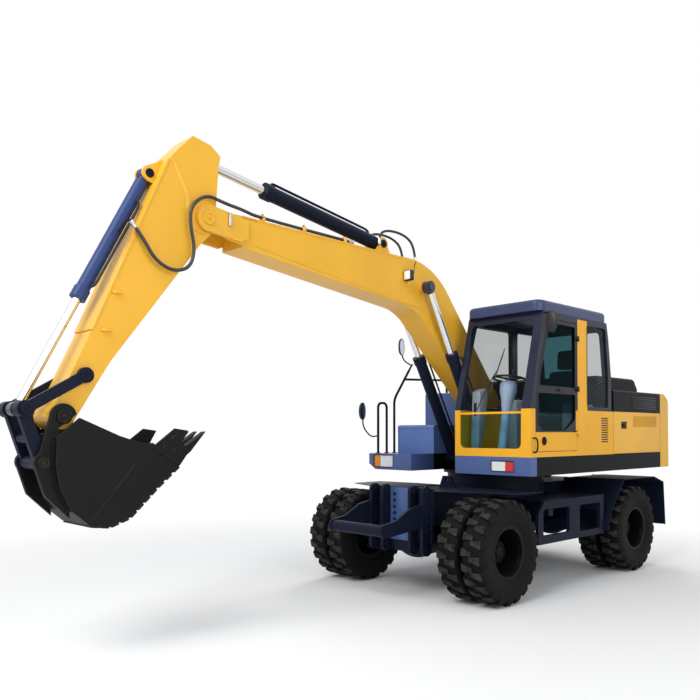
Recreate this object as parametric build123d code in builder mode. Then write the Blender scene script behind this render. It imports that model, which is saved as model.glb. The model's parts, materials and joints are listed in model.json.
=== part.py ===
from build123d import *
import os
from math import hypot, pi, radians, tan

# A wheeled excavator of the 15 tonne class. Millimetres, x forward, y to the left, z up from
# the ground. Every place is measured from the slewing axis, and the finished pieces are moved
# so that the middle of the machine's length stands on the origin.

# Running gear
wheelbase = 2800
front_axle_x = 1500
rear_axle_x = front_axle_x - wheelbase
tyre_radius = 530
tyre_width = 260
tread_width = 210
lugs = 15
lug_height = 30
centre_groove = 12
side_wall_radius = 420
bead_radius = 258
bead_half = 85
outer_tyre_y = 1115
twin_spacing = 300
flange_gap = 5
hub_radius = 105
hub_length = 190
spindle_radius = 45
running_fit = 0.05
kingpin_y = 700
kingpin_radius = 25
knuckle_height = 216
knuckle_radius = 50
steering_arm = 150
steering_arm_thickness = 25
tie_rod_radius = 14
axle_tube_radius = 85
differential_radius = 185
rear_seat_z = 655
transmission_bottom = 450
propshaft_radius = 42

# Chassis
chassis_half_width = 330
chassis_bottom = 720
chassis_top = 1100
chassis_front = 1700
chassis_rear = -1900
ring_radius = 590
ring_bore = 480
ring_base = 1150
ring_top = 1240
cross_beam_x = 530
cross_beam_width = 90
guard_thickness = 8
guard_half_width = 1200
guard_inner = 470
rear_guard_top = 1150
side_frame_y = 1150
side_frame_front = 850
side_frame_rear = -600

# Front bracket and step
bracket_front = 1860
bracket_plate = 38
bracket_bottom = 430
bracket_top = 1170
bracket_bore = 30
bracket_inner_y = 200
bracket_outer_y = 375
step_x = 2385
step_z = 742
step_radius = 60
step_arm = 28
step_span = 2 * bracket_outer_y - step_arm

# Upper structure
deck_bottom = 1275
deck_top = 1475
body_half_width = 1185
body_front = 1050
tail_x = -2530
counterweight_front = -2130
belt_z = 2000
body_top = 2262
hood_z = 2230
moving_gap = 5
seat_gap = 0.3
panel_thickness = 35
bay_front = -800
tank_top = 2272
lid_z = 1790
lid_height = 45
hinge_barrel = 10
hinge_gap = 12
rail_y = -1118
rail = 16

# Cab
cab_right = 190
cab_rear = -745
cab_wall = 55
cab_roof_z = 3060
roof_top = 3185
glass_thickness = 6
door_front = 950
door_rear = 75
door_gap = 6
door_hinges = (1700, 2205, 2780)
door_hinge_y = body_half_width + 15
hinge_pin = 6
split_z = (1942, 1966)
grille_slots = 24
grille_pitch = 28.5
louvres = 11
louvre_pitch = 28

# Boom, arm and bucket
boom_y = -150
boom_width = 310
boom_foot = (-50, 1950)
boom_tip = (4266, 3596)
boom_foot_radius = 172
boom_tip_radius = 118
cheek_thickness = 35
arm_width = 300
bucket_pin = (5525, 1857)
bucket_width = 504
link_pin = (5670, 1517)
cross_pin = (5805, 1910)
guide_pin = (5356, 2174)
ear_thickness = 35
pin_radius = 35

# Cylinders
boom_cylinder_spread = 250
boom_cylinder_foot = (300, 1420)
boom_cylinder_eye = (1410, 3376)
boom_barrel_radius = 68
boom_rod_radius = 38
arm_cylinder_foot = (1960, 3800)
arm_cylinder_eye = (4205, 4140)
arm_barrel_radius = 72
arm_rod_radius = 42
bucket_cylinder_foot = (4772, 3890)
bucket_barrel_radius = 55
bucket_rod_radius = 33

# Middle of the machine's length, from the slewing axis
cross_boss_radius = 62
middle_x = (tail_x + cross_pin[0] + cross_boss_radius) / 2


def side(y):
    """Sketch plane at y: sketch x is forward, sketch y is up, extruding goes to the right."""
    return Plane.XZ.offset(-y)


def front(x):
    """Sketch plane at x: sketch x is to the left, sketch y is up, extruding goes forward."""
    return Plane.YZ.offset(x)


def level(z):
    """Sketch plane at height z: extruding goes up."""
    return Plane.XY.offset(z)


def plate(plane, points, thickness, radius=0, shrink=0, mode=Mode.ADD):
    """A flat plate with the outline given, its corners rounded and its edge drawn in if asked."""
    with BuildSketch(plane) as outline:
        with BuildLine():
            Polyline(*points, close=True)
        make_face()
        if radius:
            fillet(vertices(), radius)
        if shrink:
            offset(amount=-shrink, mode=Mode.REPLACE)
    extrude(outline.sketch, amount=thickness, mode=mode)


def disc(plane, centre, radius, thickness, mode=Mode.ADD):
    """A round boss, pin or bore standing on a plane."""
    with BuildSketch(plane) as outline:
        with Locations(centre):
            Circle(radius)
    extrude(outline.sketch, amount=thickness, mode=mode)


def block(x, y, z, mode=Mode.ADD):
    """A box between two values on each axis."""
    with Locations(((x[0] + x[1]) / 2, (y[0] + y[1]) / 2, (z[0] + z[1]) / 2)):
        Box(x[1] - x[0], y[1] - y[0], z[1] - z[0], mode=mode)


def rod(start, end, radius, mode=Mode.ADD):
    """A round bar between two points."""
    run = Vector(*end) - Vector(*start)
    with BuildSketch(Plane(origin=start, z_dir=run)) as outline:
        Circle(radius)
    extrude(outline.sketch, amount=run.length, mode=mode)


def pipe(points, bend, radius):
    """A bent round tube through the points, with one bend radius at every corner."""
    with BuildLine() as route:
        FilletPolyline(*points, radius=bend)
    with BuildSketch(Plane(origin=route.line @ 0, z_dir=route.line % 0)) as outline:
        Circle(radius)
    sweep(outline.sketch, path=route.line)


def hose(points, radius):
    """A hose through the points, each corner as round as its two runs allow."""
    places = [Vector(*point) for point in points]
    bends = []
    for before, here, after in zip(places, places[1:], places[2:]):
        turn = radians((here - before).get_angle(after - here))
        shorter = min((here - before).length, (after - here).length)
        bends.append(0.45 * shorter / tan(turn / 2))
    print("hose of", 2 * radius, "mm, bends", [round(bend) for bend in bends])
    with BuildLine() as route:
        FilletPolyline(*points, radius=bends)
    with BuildSketch(Plane(origin=route.line @ 0, z_dir=route.line % 0)) as outline:
        Circle(radius)
    sweep(outline.sketch, path=route.line)


def along(start, end, distance):
    """The point at a distance from start towards end, in the machine's side view."""
    run = Vector(*end) - Vector(*start)
    return tuple((Vector(*start) + run * (distance / run.length)))[:2]


def strap(y, width, start, end, start_radius, end_radius, bar=0):
    """A link with round ends going right from y, as wide as they are or as the bar between."""
    with BuildSketch(side(y)) as outline:
        with Locations(start):
            Circle(bar / 2 if bar else start_radius)
        with Locations(end):
            Circle(bar / 2 if bar else end_radius)
        make_hull()
        with Locations(start):
            Circle(start_radius)
        with Locations(end):
            Circle(end_radius)
    extrude(outline.sketch, amount=width)


# Chassis
with BuildPart() as chassis_frame:
    plate(level(chassis_bottom), [(chassis_front, 260), (chassis_front, -260),
                                  (chassis_front - 500, -chassis_half_width),
                                  (chassis_rear, -chassis_half_width),
                                  (chassis_rear, chassis_half_width),
                                  (chassis_front - 500, chassis_half_width)],
          chassis_top - chassis_bottom)
    # Front plate with the four bracket plates
    block((chassis_front, chassis_front + 35), (-415, 415), (560, chassis_top + 40))
    for y in (-bracket_outer_y, -bracket_inner_y, bracket_inner_y, bracket_outer_y):
        left = y + bracket_plate / 2
        middle = (chassis_front + 20 + bracket_front) / 2
        half = (bracket_front - chassis_front - 20) / 2
        strap(left, bracket_plate, (middle, bracket_bottom + half), (middle, bracket_top - half),
              half, half)
        for z in (bracket_bottom + half, bracket_top - half):
            disc(side(left), (middle, z), bracket_bore, bracket_plate, mode=Mode.SUBTRACT)
    # Saddle plates that hold the front axle's rocking pin
    for x in (front_axle_x - 240, front_axle_x + 205):
        plate(front(x), [(-230, chassis_bottom + 10), (230, chassis_bottom + 10), (120, 440),
                         (-120, 440)], 35)
    disc(front(front_axle_x - 241), (0, tyre_radius), 50 + running_fit, 500, mode=Mode.SUBTRACT)
    # Seats of the rear axle
    for y in (-300, 300):
        block((rear_axle_x - 90, rear_axle_x + 90), (y - 60, y + 60),
              (rear_seat_z, chassis_bottom + 10))
    # Slewing lock lug in front of the ring
    plate(front(930), [(-110, chassis_top), (110, chassis_top), (60, ring_top - 10),
                       (-60, ring_top - 10)], 40)
    disc(front(930), (0, 1185), 22, 40, mode=Mode.SUBTRACT)

# Turret over the frame, widening up to the slewing ring
with BuildPart() as turret:
    with BuildSketch(side(0)):
        with BuildLine():
            Polyline((0, chassis_bottom + 40), (430, chassis_bottom + 40), (ring_radius + 10, 1000),
                     (ring_radius + 10, ring_base), (0, ring_base), close=True)
        make_face()
    revolve(axis=Axis.Z)
    block((-1000, 1000), (-chassis_half_width, chassis_half_width), (chassis_bottom, chassis_top),
          mode=Mode.SUBTRACT)

# Beams that carry the side frames, two on each side
with BuildPart() as cross_beams:
    reach = side_frame_y - 40
    for x in (cross_beam_x, -cross_beam_x):
        for span in ((chassis_half_width, reach), (-reach, -chassis_half_width)):
            block((x - cross_beam_width / 2, x + cross_beam_width / 2), span, (820, 980))

with BuildPart() as front_step:
    # Two curved arms bolted to the right faces of the outer bracket plates, with a round tread
    for y in (bracket_outer_y - bracket_plate / 2, -bracket_outer_y - bracket_plate / 2):
        with BuildSketch(side(y)):
            with BuildLine():
                Polyline((1745, step_z - 2), (1745, step_z + 233), (1870, step_z + 232),
                         (2010, step_z + 205), (2230, step_z + 92), (step_x, step_z + 72),
                         (step_x, step_z - 68), close=True)
            make_face()
            with Locations((step_x, step_z + 2)):
                Circle(70)
        extrude(amount=step_arm)
    disc(side(bracket_outer_y - bracket_plate / 2 - step_arm), (step_x, step_z), step_radius,
         step_span)

with BuildPart() as slewing_ring:
    disc(level(ring_base), (0, 0), ring_radius, ring_top - ring_base)
    disc(level(ring_base), (0, 0), ring_bore, ring_top - ring_base, mode=Mode.SUBTRACT)

with BuildPart() as chassis_guards:
    for hand in (1, -1):
        # Side frame with two openings and a tread on top
        outer = side_frame_y if hand > 0 else -side_frame_y + 40
        plate(side(outer), [(side_frame_rear, 530), (side_frame_front, 530),
                            (side_frame_front, 860), (side_frame_front - 120, 995),
                            (side_frame_rear, 995)], 40)
        for window in (((200, 620), (750, 620), (750, 905), (200, 905)),
                       ((-510, 600), (-30, 600), (-30, 905), (-510, 905))):
            plate(side(outer), window, 40, radius=30, mode=Mode.SUBTRACT)
        block((side_frame_rear, side_frame_front - 130),
              (640, side_frame_y) if hand > 0 else (-side_frame_y, -640), (980, 995))
        # Flat guard over the steered wheels, its front edge cut back to the corner
        plate(level(chassis_top), [(chassis_front, 250 * hand), (1300, guard_half_width * hand),
                                   (830, guard_half_width * hand), (760, 640 * hand),
                                   (760, 250 * hand)], guard_thickness)
# Rear guards: sloping front, flat top and a flap behind, hung on brackets from the frame
with BuildPart() as rear_guards:
    for hand in (1, -1):
        outer = guard_half_width if hand > 0 else -guard_inner
        with BuildSketch(side(outer)):
            with BuildLine():
                line = Polyline((-615, 560), (-630, 640), (-770, 860), (-1045, rear_guard_top),
                                (-1900, rear_guard_top), (-2180, 1070), (-2230, 500))
                offset(line, amount=guard_thickness, side=Side.RIGHT, kind=Kind.INTERSECTION)
            make_face()
        extrude(amount=guard_half_width - guard_inner)
        bracket = (chassis_half_width, guard_inner + 10)
        for x in (-1880, -1120):
            block((x, x + 20), bracket if hand > 0 else (-bracket[1], -bracket[0]),
                  (1000, rear_guard_top + 1))

# Axles, turned about the axle line
def axle_housing(x):
    """Differential bulb and tapering tubes, turned about the axle line."""
    end = kingpin_y - 90
    with BuildSketch(Plane(origin=(x, 0, tyre_radius), x_dir=(0, 1, 0), z_dir=(1, 0, 0))) as half:
        with BuildLine():
            Polyline((differential_radius, 130), (260, 105), (end, axle_tube_radius), (end, 0),
                     (-end, 0), (-end, axle_tube_radius), (-260, 105),
                     (-differential_radius, 130))
            ThreePointArc((-differential_radius, 130), (0, differential_radius),
                          (differential_radius, 130))
        make_face()
    revolve(half.sketch, axis=Axis((x, 0, tyre_radius), (0, 1, 0)))


with BuildPart() as axle_front:
    axle_housing(front_axle_x)
    # Rocking pin along the machine
    disc(front(front_axle_x - 240), (0, tyre_radius), 50, 480)
    # Forks that hold the kingpins
    for hand in (1, -1):
        for z in (tyre_radius + knuckle_height / 2 + 1, tyre_radius - knuckle_height / 2 - 41):
            plate(level(z), [(front_axle_x - 60, (kingpin_y - 150) * hand),
                             (front_axle_x + 60, (kingpin_y - 150) * hand),
                             (front_axle_x + 50, (kingpin_y + 40) * hand),
                             (front_axle_x - 50, (kingpin_y + 40) * hand)], 40)
        low = tyre_radius - knuckle_height / 2 - 41
        inner = (kingpin_y - 150, kingpin_y - 80) if hand > 0 else (80 - kingpin_y, 150 - kingpin_y)
        block((front_axle_x - 60, front_axle_x + 60), inner,
              (low, tyre_radius + knuckle_height / 2 + 41))
        disc(level(low), (front_axle_x, kingpin_y * hand), kingpin_radius, knuckle_height + 82)
    # Steering cylinder body behind the housing
    disc(side(260), (front_axle_x - steering_arm, tyre_radius + 28), 38, 520)
    disc(side(261), (front_axle_x - steering_arm, tyre_radius + 28), tie_rod_radius + running_fit,
         522, mode=Mode.SUBTRACT)
    for y in (240, -220):
        with BuildSketch(side(y)):
            with Locations((front_axle_x - steering_arm / 2, tyre_radius + 28)):
                Rectangle(steering_arm - 60, 40)
        extrude(amount=20)

with BuildPart() as axle_rear:
    axle_housing(rear_axle_x)
    for y in (-300, 300):
        block((rear_axle_x - 70, rear_axle_x + 70), (y - 50, y + 50), (tyre_radius, rear_seat_z))
    for hand in (1, -1):
        start = kingpin_y - 91
        rod((rear_axle_x, start * hand, tyre_radius), (rear_axle_x, 903 * hand, tyre_radius), 75)
        rod((rear_axle_x, 900 * hand, tyre_radius), (rear_axle_x, 1000 * hand, tyre_radius),
            spindle_radius)

with BuildPart() as driveline:
    block((-250, 200), (-170, 170), (transmission_bottom, chassis_bottom))
    rod((200, 0, tyre_radius), (front_axle_x - 240 - seat_gap, 0, tyre_radius), propshaft_radius)
    rod((-250, 0, tyre_radius), (rear_axle_x + differential_radius + 15, 0, tyre_radius),
        propshaft_radius)
    rod((-600, 0, tyre_radius), (rear_axle_x + differential_radius + seat_gap, 0, tyre_radius), 30)

# Steering knuckles and tie rod
knuckles = {}
for name, hand in (("knuckle_left", 1), ("knuckle_right", -1)):
    with BuildPart() as knuckle:
        low = tyre_radius - knuckle_height / 2
        disc(level(low), (front_axle_x, kingpin_y * hand), knuckle_radius, knuckle_height)
        rod((front_axle_x, (kingpin_y + 35) * hand, tyre_radius),
            (front_axle_x, 903 * hand, tyre_radius), 70)
        rod((front_axle_x, 900 * hand, tyre_radius), (front_axle_x, 1000 * hand, tyre_radius),
            spindle_radius)
        arm_z = tyre_radius + 28 - tie_rod_radius - 12 - steering_arm_thickness
        with BuildSketch(level(arm_z)):
            with Locations((front_axle_x, kingpin_y * hand)):
                Circle(30)
            with Locations((front_axle_x - steering_arm, kingpin_y * hand)):
                Circle(30)
            make_hull()
        extrude(amount=steering_arm_thickness)
        disc(level(low - 1), (front_axle_x, kingpin_y * hand), kingpin_radius + running_fit,
             knuckle_height + 2, mode=Mode.SUBTRACT)
    knuckles[name] = knuckle

with BuildPart() as tie_rod:
    rod_z = tyre_radius + 28
    disc(side(kingpin_y - 20), (front_axle_x - steering_arm, rod_z), tie_rod_radius,
         2 * kingpin_y - 40)
    for y in (kingpin_y, -kingpin_y):
        disc(level(rod_z - tie_rod_radius - 12 + seat_gap), (front_axle_x - steering_arm, y), 26,
             2 * tie_rod_radius + 24)

# Wheels: twin tyres on one hub
def tyre_step(hand, crown, start):
    """One flat-sided step of half a tyre, standing on the axle line at the origin."""
    half = tyre_width / 2
    reach = (crown + 1) * tan(pi / (2 * lugs))
    with BuildPart() as step:
        with BuildSketch(Plane.YZ) as section:
            with BuildLine():
                Polyline((start * hand, bead_radius), (bead_half * hand, bead_radius),
                         (half * hand, side_wall_radius), (tread_width / 2 * hand, crown),
                         (start * hand, crown), close=True)
            make_face()
        extrude(section.sketch, amount=reach, both=True)
        with BuildSketch(Plane.XZ) as wedge:
            with BuildLine():
                Polyline((0, 0), (reach, crown + 1), (-reach, crown + 1), close=True)
            make_face()
        extrude(wedge.sketch, amount=half + 1, both=True, mode=Mode.INTERSECT)
    return step.part


# Half the tyre's lugs stand on its left, half on its right, set half a pitch apart
tyre_steps = []
for number in range(2 * lugs):
    for hand in (1, -1):
        raised = number % 2 == (0 if hand > 0 else 1)
        crown = tyre_radius if raised else tyre_radius - lug_height
        start = centre_groove / 2 if raised else -centre_groove / 2
        turned = Rotation(0, 180 * number / lugs + 180, 0)
        tyre_steps.append(turned * tyre_step(hand, crown, start))
plain_tyre = tyre_steps[0].fuse(*tyre_steps[1:]).clean()


def rims(x, hand):
    """Two dished rims joined at the middle of the pair, with the planetary hub."""
    middle = outer_tyre_y - twin_spacing / 2
    seat = bead_radius - seat_gap
    flange = bead_radius + 12
    near = twin_spacing / 2 - bead_half - flange_gap
    far = twin_spacing / 2 + bead_half + flange_gap
    half_line = [(10, 60), (10, 226), (far - 40, 230), (far + 8, 240), (far + 8, flange),
                 (far, flange), (far, seat), (near, seat), (near, flange), (near - 8, flange),
                 (near - 8, 242)]
    with BuildSketch(Plane(origin=(x, middle * hand, tyre_radius), x_dir=(0, hand, 0),
                           z_dir=(hand, 0, 0))) as cut:
        with BuildLine():
            Polyline(*half_line, *[(-y, r) for y, r in reversed(half_line)], close=True)
        make_face()
    revolve(cut.sketch, axis=Axis((x, middle * hand, tyre_radius), (0, 1, 0)))
    start = middle - 60
    rod((x, start * hand, tyre_radius), (x, (start + hub_length) * hand, tyre_radius), hub_radius)
    rod((x, (start - 1) * hand, tyre_radius), (x, (start + 110) * hand, tyre_radius),
        spindle_radius + running_fit, mode=Mode.SUBTRACT)


wheels = {}
for corner, x, hand in (("front_left", front_axle_x, 1), ("front_right", front_axle_x, -1),
                        ("rear_left", rear_axle_x, 1), ("rear_right", rear_axle_x, -1)):
    with BuildPart() as tyres:
        for y in (outer_tyre_y, outer_tyre_y - twin_spacing):
            add(plain_tyre.moved(Location((x, y * hand, tyre_radius))))
    with BuildPart() as rim_pair:
        rims(x, hand)
    wheels["tyres_" + corner] = tyres
    wheels["rims_" + corner] = rim_pair

# Upper structure
with BuildPart() as swing_deck:
    gap = moving_gap
    plate(level(deck_bottom), [(counterweight_front + gap, -body_half_width),
                               (620 - gap, -body_half_width), (620 - gap, -480), (150, -480),
                               (150, cab_right), (930 - gap, cab_right),
                               (930 - gap, body_half_width),
                               (counterweight_front + gap, body_half_width)],
          deck_top - deck_bottom)
    disc(level(ring_top + moving_gap), (0, 0), 640, deck_bottom - ring_top - moving_gap)
    disc(level(ring_base + 30), (0, 0), ring_bore - seat_gap, ring_top + moving_gap - ring_base - 30)
    # Cheeks that hold the boom foot
    for y in (boom_y + boom_width / 2 + moving_gap + cheek_thickness,
              boom_y - boom_width / 2 - moving_gap):
        with BuildSketch(side(y)):
            with BuildLine():
                Polyline((-480, deck_top), (140, deck_top), (60, boom_foot[1] + 20),
                         (boom_foot[0] - 110, boom_foot[1] + 20), close=True)
            make_face()
            with Locations(boom_foot):
                Circle(112)
        extrude(amount=cheek_thickness)
    # Lugs that hold the feet of the boom cylinders
    foot = boom_cylinder_foot
    for middle in (boom_y + boom_cylinder_spread, boom_y - boom_cylinder_spread):
        for y in (middle + 75, middle - 50.3):
            with BuildSketch(side(y)):
                with BuildLine():
                    Polyline((100, deck_bottom), (foot[0], deck_bottom + 40), foot,
                             (foot[0] - 20, foot[1] + 78), (100, foot[1] + 78), close=True)
                make_face()
                with Locations(foot):
                    Circle(80)
            extrude(amount=24.7)
        disc(side(middle + 76), foot, pin_radius, 152)
    disc(side(boom_y + boom_width / 2 + 41), boom_foot, 48, boom_width + 82)
    # Bulkhead in front of the engine bay
    block((bay_front - 40, bay_front - 15), (panel_thickness - body_half_width,
                                             body_half_width - panel_thickness),
          (deck_top, hood_z - seat_gap))
    # Rails that carry the fixed side bands
    for y in (body_half_width - panel_thickness, 25 + panel_thickness - body_half_width):
        block((counterweight_front, bay_front - 40), (y - 25, y), (belt_z + 20, belt_z + 60))

with BuildPart() as front_platforms:
    # Bumper below the cab
    block((930, body_front), (cab_right, body_half_width), (deck_bottom, deck_top))
    block((body_front - 12, body_front), (690, 975), (deck_bottom + 45, deck_bottom + 150),
          mode=Mode.SUBTRACT)
    # Right front corner with the headlamp recess
    plate(front(620), [(-480, deck_bottom), (-1080, deck_bottom), (-1190, deck_bottom + 70),
                       (-1190, deck_top), (-480, deck_top)], body_front - 620)
    block((body_front - 40, body_front), (-1110, -775), (deck_bottom + 30, deck_top - 15),
          mode=Mode.SUBTRACT)

with BuildPart() as counterweight:
    with BuildSketch(level(deck_bottom)):
        with BuildLine():
            Polyline((tail_x + 60, body_half_width), (counterweight_front, body_half_width),
                     (counterweight_front, -body_half_width), (tail_x + 60, -body_half_width))
            ThreePointArc((tail_x + 60, -body_half_width), (tail_x, 0),
                          (tail_x + 60, body_half_width))
        make_face()
        fillet(vertices().group_by(Axis.X)[0], 120)
    extrude(amount=body_top - deck_bottom)
    with BuildSketch(side(body_half_width + 20)):
        with BuildLine():
            Polyline((counterweight_front + 5, body_top), (counterweight_front + 5, deck_bottom),
                     (tail_x + 90, deck_bottom), (tail_x, deck_bottom + 80),
                     (tail_x, 1560), (tail_x + 110, 2080))
            ThreePointArc((tail_x + 110, 2080), (tail_x + 200, body_top - 50),
                          (tail_x + 340, body_top))
            Line((tail_x + 340, body_top), (counterweight_front + 5, body_top))
        make_face()
    extrude(amount=2 * body_half_width + 40, mode=Mode.INTERSECT)

with BuildPart() as fuel_tank:
    block((-780, 0), (-1165, -485), (deck_top, tank_top))
    fillet(edges().filter_by(Axis.Z), 45)
    fillet(faces().sort_by(Axis.Z)[-1].edges(), 30)
    block((-760, -20), (-1172, -1160), (deck_top + 330, deck_top + 365))
    disc(level(tank_top - 1), (-300, -640), 55, 16)
    disc(level(tank_top - 1), (-300, -640), 38, 50)

with BuildPart() as toolbox:
    block((5, 615), (-1090, -485), (deck_top, lid_z))
    block((25, 595), (-1070, -505), (deck_top + 20, lid_z), mode=Mode.SUBTRACT)

with BuildPart() as toolbox_lid:
    lid_hinge = (18, lid_z + lid_height - hinge_barrel / 2)
    plate(side(-485), [(lid_hinge[0], lid_z + seat_gap), (620, lid_z + seat_gap),
                       (620, lid_z + lid_height / 2), (595, lid_z + lid_height),
                       (lid_hinge[0], lid_z + lid_height)], 605)
    for y in (-560, -915):
        disc(side(y), lid_hinge, hinge_barrel, 100)

with BuildPart() as engine_block:
    block((-1900, -950), (-550, 550), (deck_top, 1960))

with BuildPart() as engine_hood:
    front_x = bay_front
    rear_x = counterweight_front + hinge_gap
    block((rear_x, front_x), (-body_half_width, body_half_width), (hood_z, body_top))
    fillet(edges().filter_by(Axis.X).group_by(Axis.Z)[-1], 25)
    plate(side(950), [(-1950, hood_z), (-1950, body_top + 60), (-1840, body_top + 195),
                      (front_x - 50, body_top + 195), (front_x - 50, hood_z)], 1900)
    fillet(faces().sort_by(Axis.Z)[-1].edges(), 40)
    plate(side(920), [(-1915, hood_z - 1), (-1915, body_top + 50), (-1820, body_top + 165),
                      (front_x - 80, body_top + 165), (front_x - 80, hood_z - 1)], 1840,
          mode=Mode.SUBTRACT)
    for y in (-700, 700):
        disc(side(y + 60), (rear_x, body_top), hinge_barrel, 120)

# Fixed black band between the side doors and the hood
with BuildPart() as engine_band:
    for outer in (body_half_width, panel_thickness - body_half_width):
        block((counterweight_front, bay_front), (outer - panel_thickness, outer),
              (belt_z, hood_z - seat_gap))

service_doors = {}
for name, hand in (("side_door_left", 1), ("side_door_right", -1)):
    with BuildPart() as service_door:
        span = (body_half_width - panel_thickness, body_half_width)
        rear_x = counterweight_front + hinge_gap
        block((rear_x, bay_front), span if hand > 0 else (-span[1], -span[0]),
              (deck_top + 5, belt_z - 5))
        # Handle recess and a grille of slots
        outside = body_half_width * hand
        inside = outside - 16 * hand
        pocket = (min(inside, outside + hand), max(inside, outside + hand))
        block((-1160, -1000), pocket, (1785, 1875), mode=Mode.SUBTRACT)
        for slot in range(grille_slots):
            x = -2005 + slot * grille_pitch
            block((x, x + 16), pocket, (1812, 1950), mode=Mode.SUBTRACT)
        for z in (deck_top + 90, belt_z - 170):
            disc(level(z), (rear_x, outside), hinge_barrel, 80)
    service_doors[name] = service_door

# Cab
nose = [(body_front, deck_top), (body_front, belt_z - 10), (door_front, 2402), (800, 2978),
        (780, cab_roof_z)]
tail = [(-632, cab_roof_z), (-679, 2863), (cab_rear, 2380), (cab_rear, 2013), (bay_front + 10, 1990),
        (bay_front + 10, deck_top)]
windscreen = [(cab_right + 70, 1565), (body_half_width - 120, 1565), (body_half_width - 105, 2700),
              (body_half_width - 105, 2975), (cab_right + 60, 2975), (cab_right + 75, 2700)]
quarter_light = [(-150, 2030), (-660, 2030), (-665, 2400), (-595, 2990), (-150, 2990)]
right_light = [(-40, 2030), (-40, 2985), (690, 2985), (880, 2402), (930, 2030)]
rear_light = [(cab_right + 90, 2330), (body_half_width - 90, 2330), (body_half_width - 90, 2960),
              (cab_right + 90, 2960)]
door_opening = [(955, 1530), (955, 1976), (888, 2402), (695, 2985), (door_rear, 2985),
                (door_rear, 1530)]
lower_light = [(905, 2170), (905, 1830), (820, 1750), (350, 1750), (120, 1882), (120, 2170)]
upper_light = [(880, 2240), (850, 2402), (665, 2940), (120, 2940), (120, 2240)]
inside_nose = [(x - cab_wall, z) for x, z in nose[1:]]
inside_tail = [(x + cab_wall, z) for x, z in tail[:4]]
with BuildPart() as cab_shell:
    plate(side(body_half_width), nose + tail, body_half_width - cab_right)
    room = [(body_front - cab_wall, deck_top + 40)] + inside_nose + inside_tail
    room = room + [(cab_rear + cab_wall, deck_top + 40)]
    room = [(x, z + 1 if z == cab_roof_z else z) for x, z in room]
    plate(side(body_half_width - cab_wall), room, body_half_width - cab_right - 2 * cab_wall,
          mode=Mode.SUBTRACT)
    # Windscreen
    plate(front(600), windscreen, 600, radius=60, mode=Mode.SUBTRACT)
    # Door opening on the left, side windows and rear window
    plate(side(body_half_width + 1), door_opening, cab_wall + 2, radius=20, mode=Mode.SUBTRACT)
    plate(side(body_half_width + 1), quarter_light, cab_wall + 2, radius=50, mode=Mode.SUBTRACT)
    plate(side(cab_right + cab_wall + 1), quarter_light, cab_wall + 2, radius=50,
          mode=Mode.SUBTRACT)
    plate(side(cab_right + cab_wall + 1), right_light, cab_wall + 2, radius=50,
          mode=Mode.SUBTRACT)
    plate(front(cab_rear - 60), rear_light, 250, radius=50, mode=Mode.SUBTRACT)
    # Bar between the two panes of the windscreen
    block((body_front - cab_wall + 5, body_front - 8), (cab_right + 60, body_half_width - 110),
          split_z)
    # Louvres behind the door
    for slot in range(louvres):
        z = 1620 + slot * louvre_pitch
        block((-660, -490), (body_half_width - 12, body_half_width + 1), (z, z + 15),
              mode=Mode.SUBTRACT)
    # Lower halves of the door hinges, each with its pin
    for z in door_hinges:
        plate(level(z), [(door_rear - 60, body_half_width), (door_rear, body_half_width),
                         (door_rear, door_hinge_y + 12), (door_rear - 20, door_hinge_y + 12)], 20)
        disc(level(z), (door_rear, door_hinge_y), 12, 20)
        disc(level(z), (door_rear, door_hinge_y), hinge_pin, 60)

with BuildPart() as cab_roof:
    plate(level(cab_roof_z + seat_gap), [(850, cab_right + 5), (850, body_half_width),
                                         (-665, body_half_width), (-665, cab_right + 5)],
          roof_top - cab_roof_z - seat_gap, radius=110)
    fillet(faces().sort_by(Axis.Z)[-1].edges(), 45)

with BuildPart() as cab_glass:
    # Windscreen pane, a thin layer of the nose cut to the opening less a gap
    layer = [(x - 14, z) for x, z in nose] + [(x - 14 - glass_thickness, z)
                                              for x, z in reversed(nose)]
    plate(side(body_half_width - 60), layer, body_half_width - cab_right - 120)
    plate(front(600), windscreen, 600, radius=60, shrink=seat_gap, mode=Mode.INTERSECT)
    block((600, 1200), (cab_right, body_half_width), (split_z[0] - seat_gap, split_z[1] + seat_gap),
          mode=Mode.SUBTRACT)
    # Side and rear panes
    plate(side(body_half_width - 10), quarter_light, glass_thickness, radius=50, shrink=seat_gap)
    for outline in (quarter_light, right_light):
        plate(side(cab_right + 10 + glass_thickness), outline, glass_thickness, radius=50,
              shrink=seat_gap)

with BuildPart() as cab_door:
    plate(side(body_half_width), door_opening, cab_wall - 10, radius=20, shrink=door_gap)
    plate(side(body_half_width + 1), lower_light, cab_wall, radius=25, mode=Mode.SUBTRACT)
    plate(side(body_half_width + 1), upper_light, cab_wall, radius=25, mode=Mode.SUBTRACT)
    # Round latch and grab bar
    disc(side(body_half_width + 10), (800, 1648), 48, 12)
    block((380, 500), (body_half_width - 10, body_half_width + 22), (2196, 2216))
    # Upper halves of the hinges, turning on the pins of the pillar
    for z in door_hinges:
        plate(level(z + 20 + seat_gap), [(door_rear, door_hinge_y - 8),
                                         (door_rear + 30, body_half_width),
                                         (door_rear + 60, body_half_width - 4),
                                         (door_rear + 60, body_half_width + 8),
                                         (door_rear, door_hinge_y + 12)], 36)
        disc(level(z + 20 + seat_gap), (door_rear, door_hinge_y), 12, 36)
        disc(level(z + 19), (door_rear, door_hinge_y), hinge_pin + running_fit, 60,
             mode=Mode.SUBTRACT)

with BuildPart() as door_glass:
    for outline in (lower_light, upper_light):
        plate(side(body_half_width - 12), outline, glass_thickness, radius=25, shrink=seat_gap)

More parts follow.
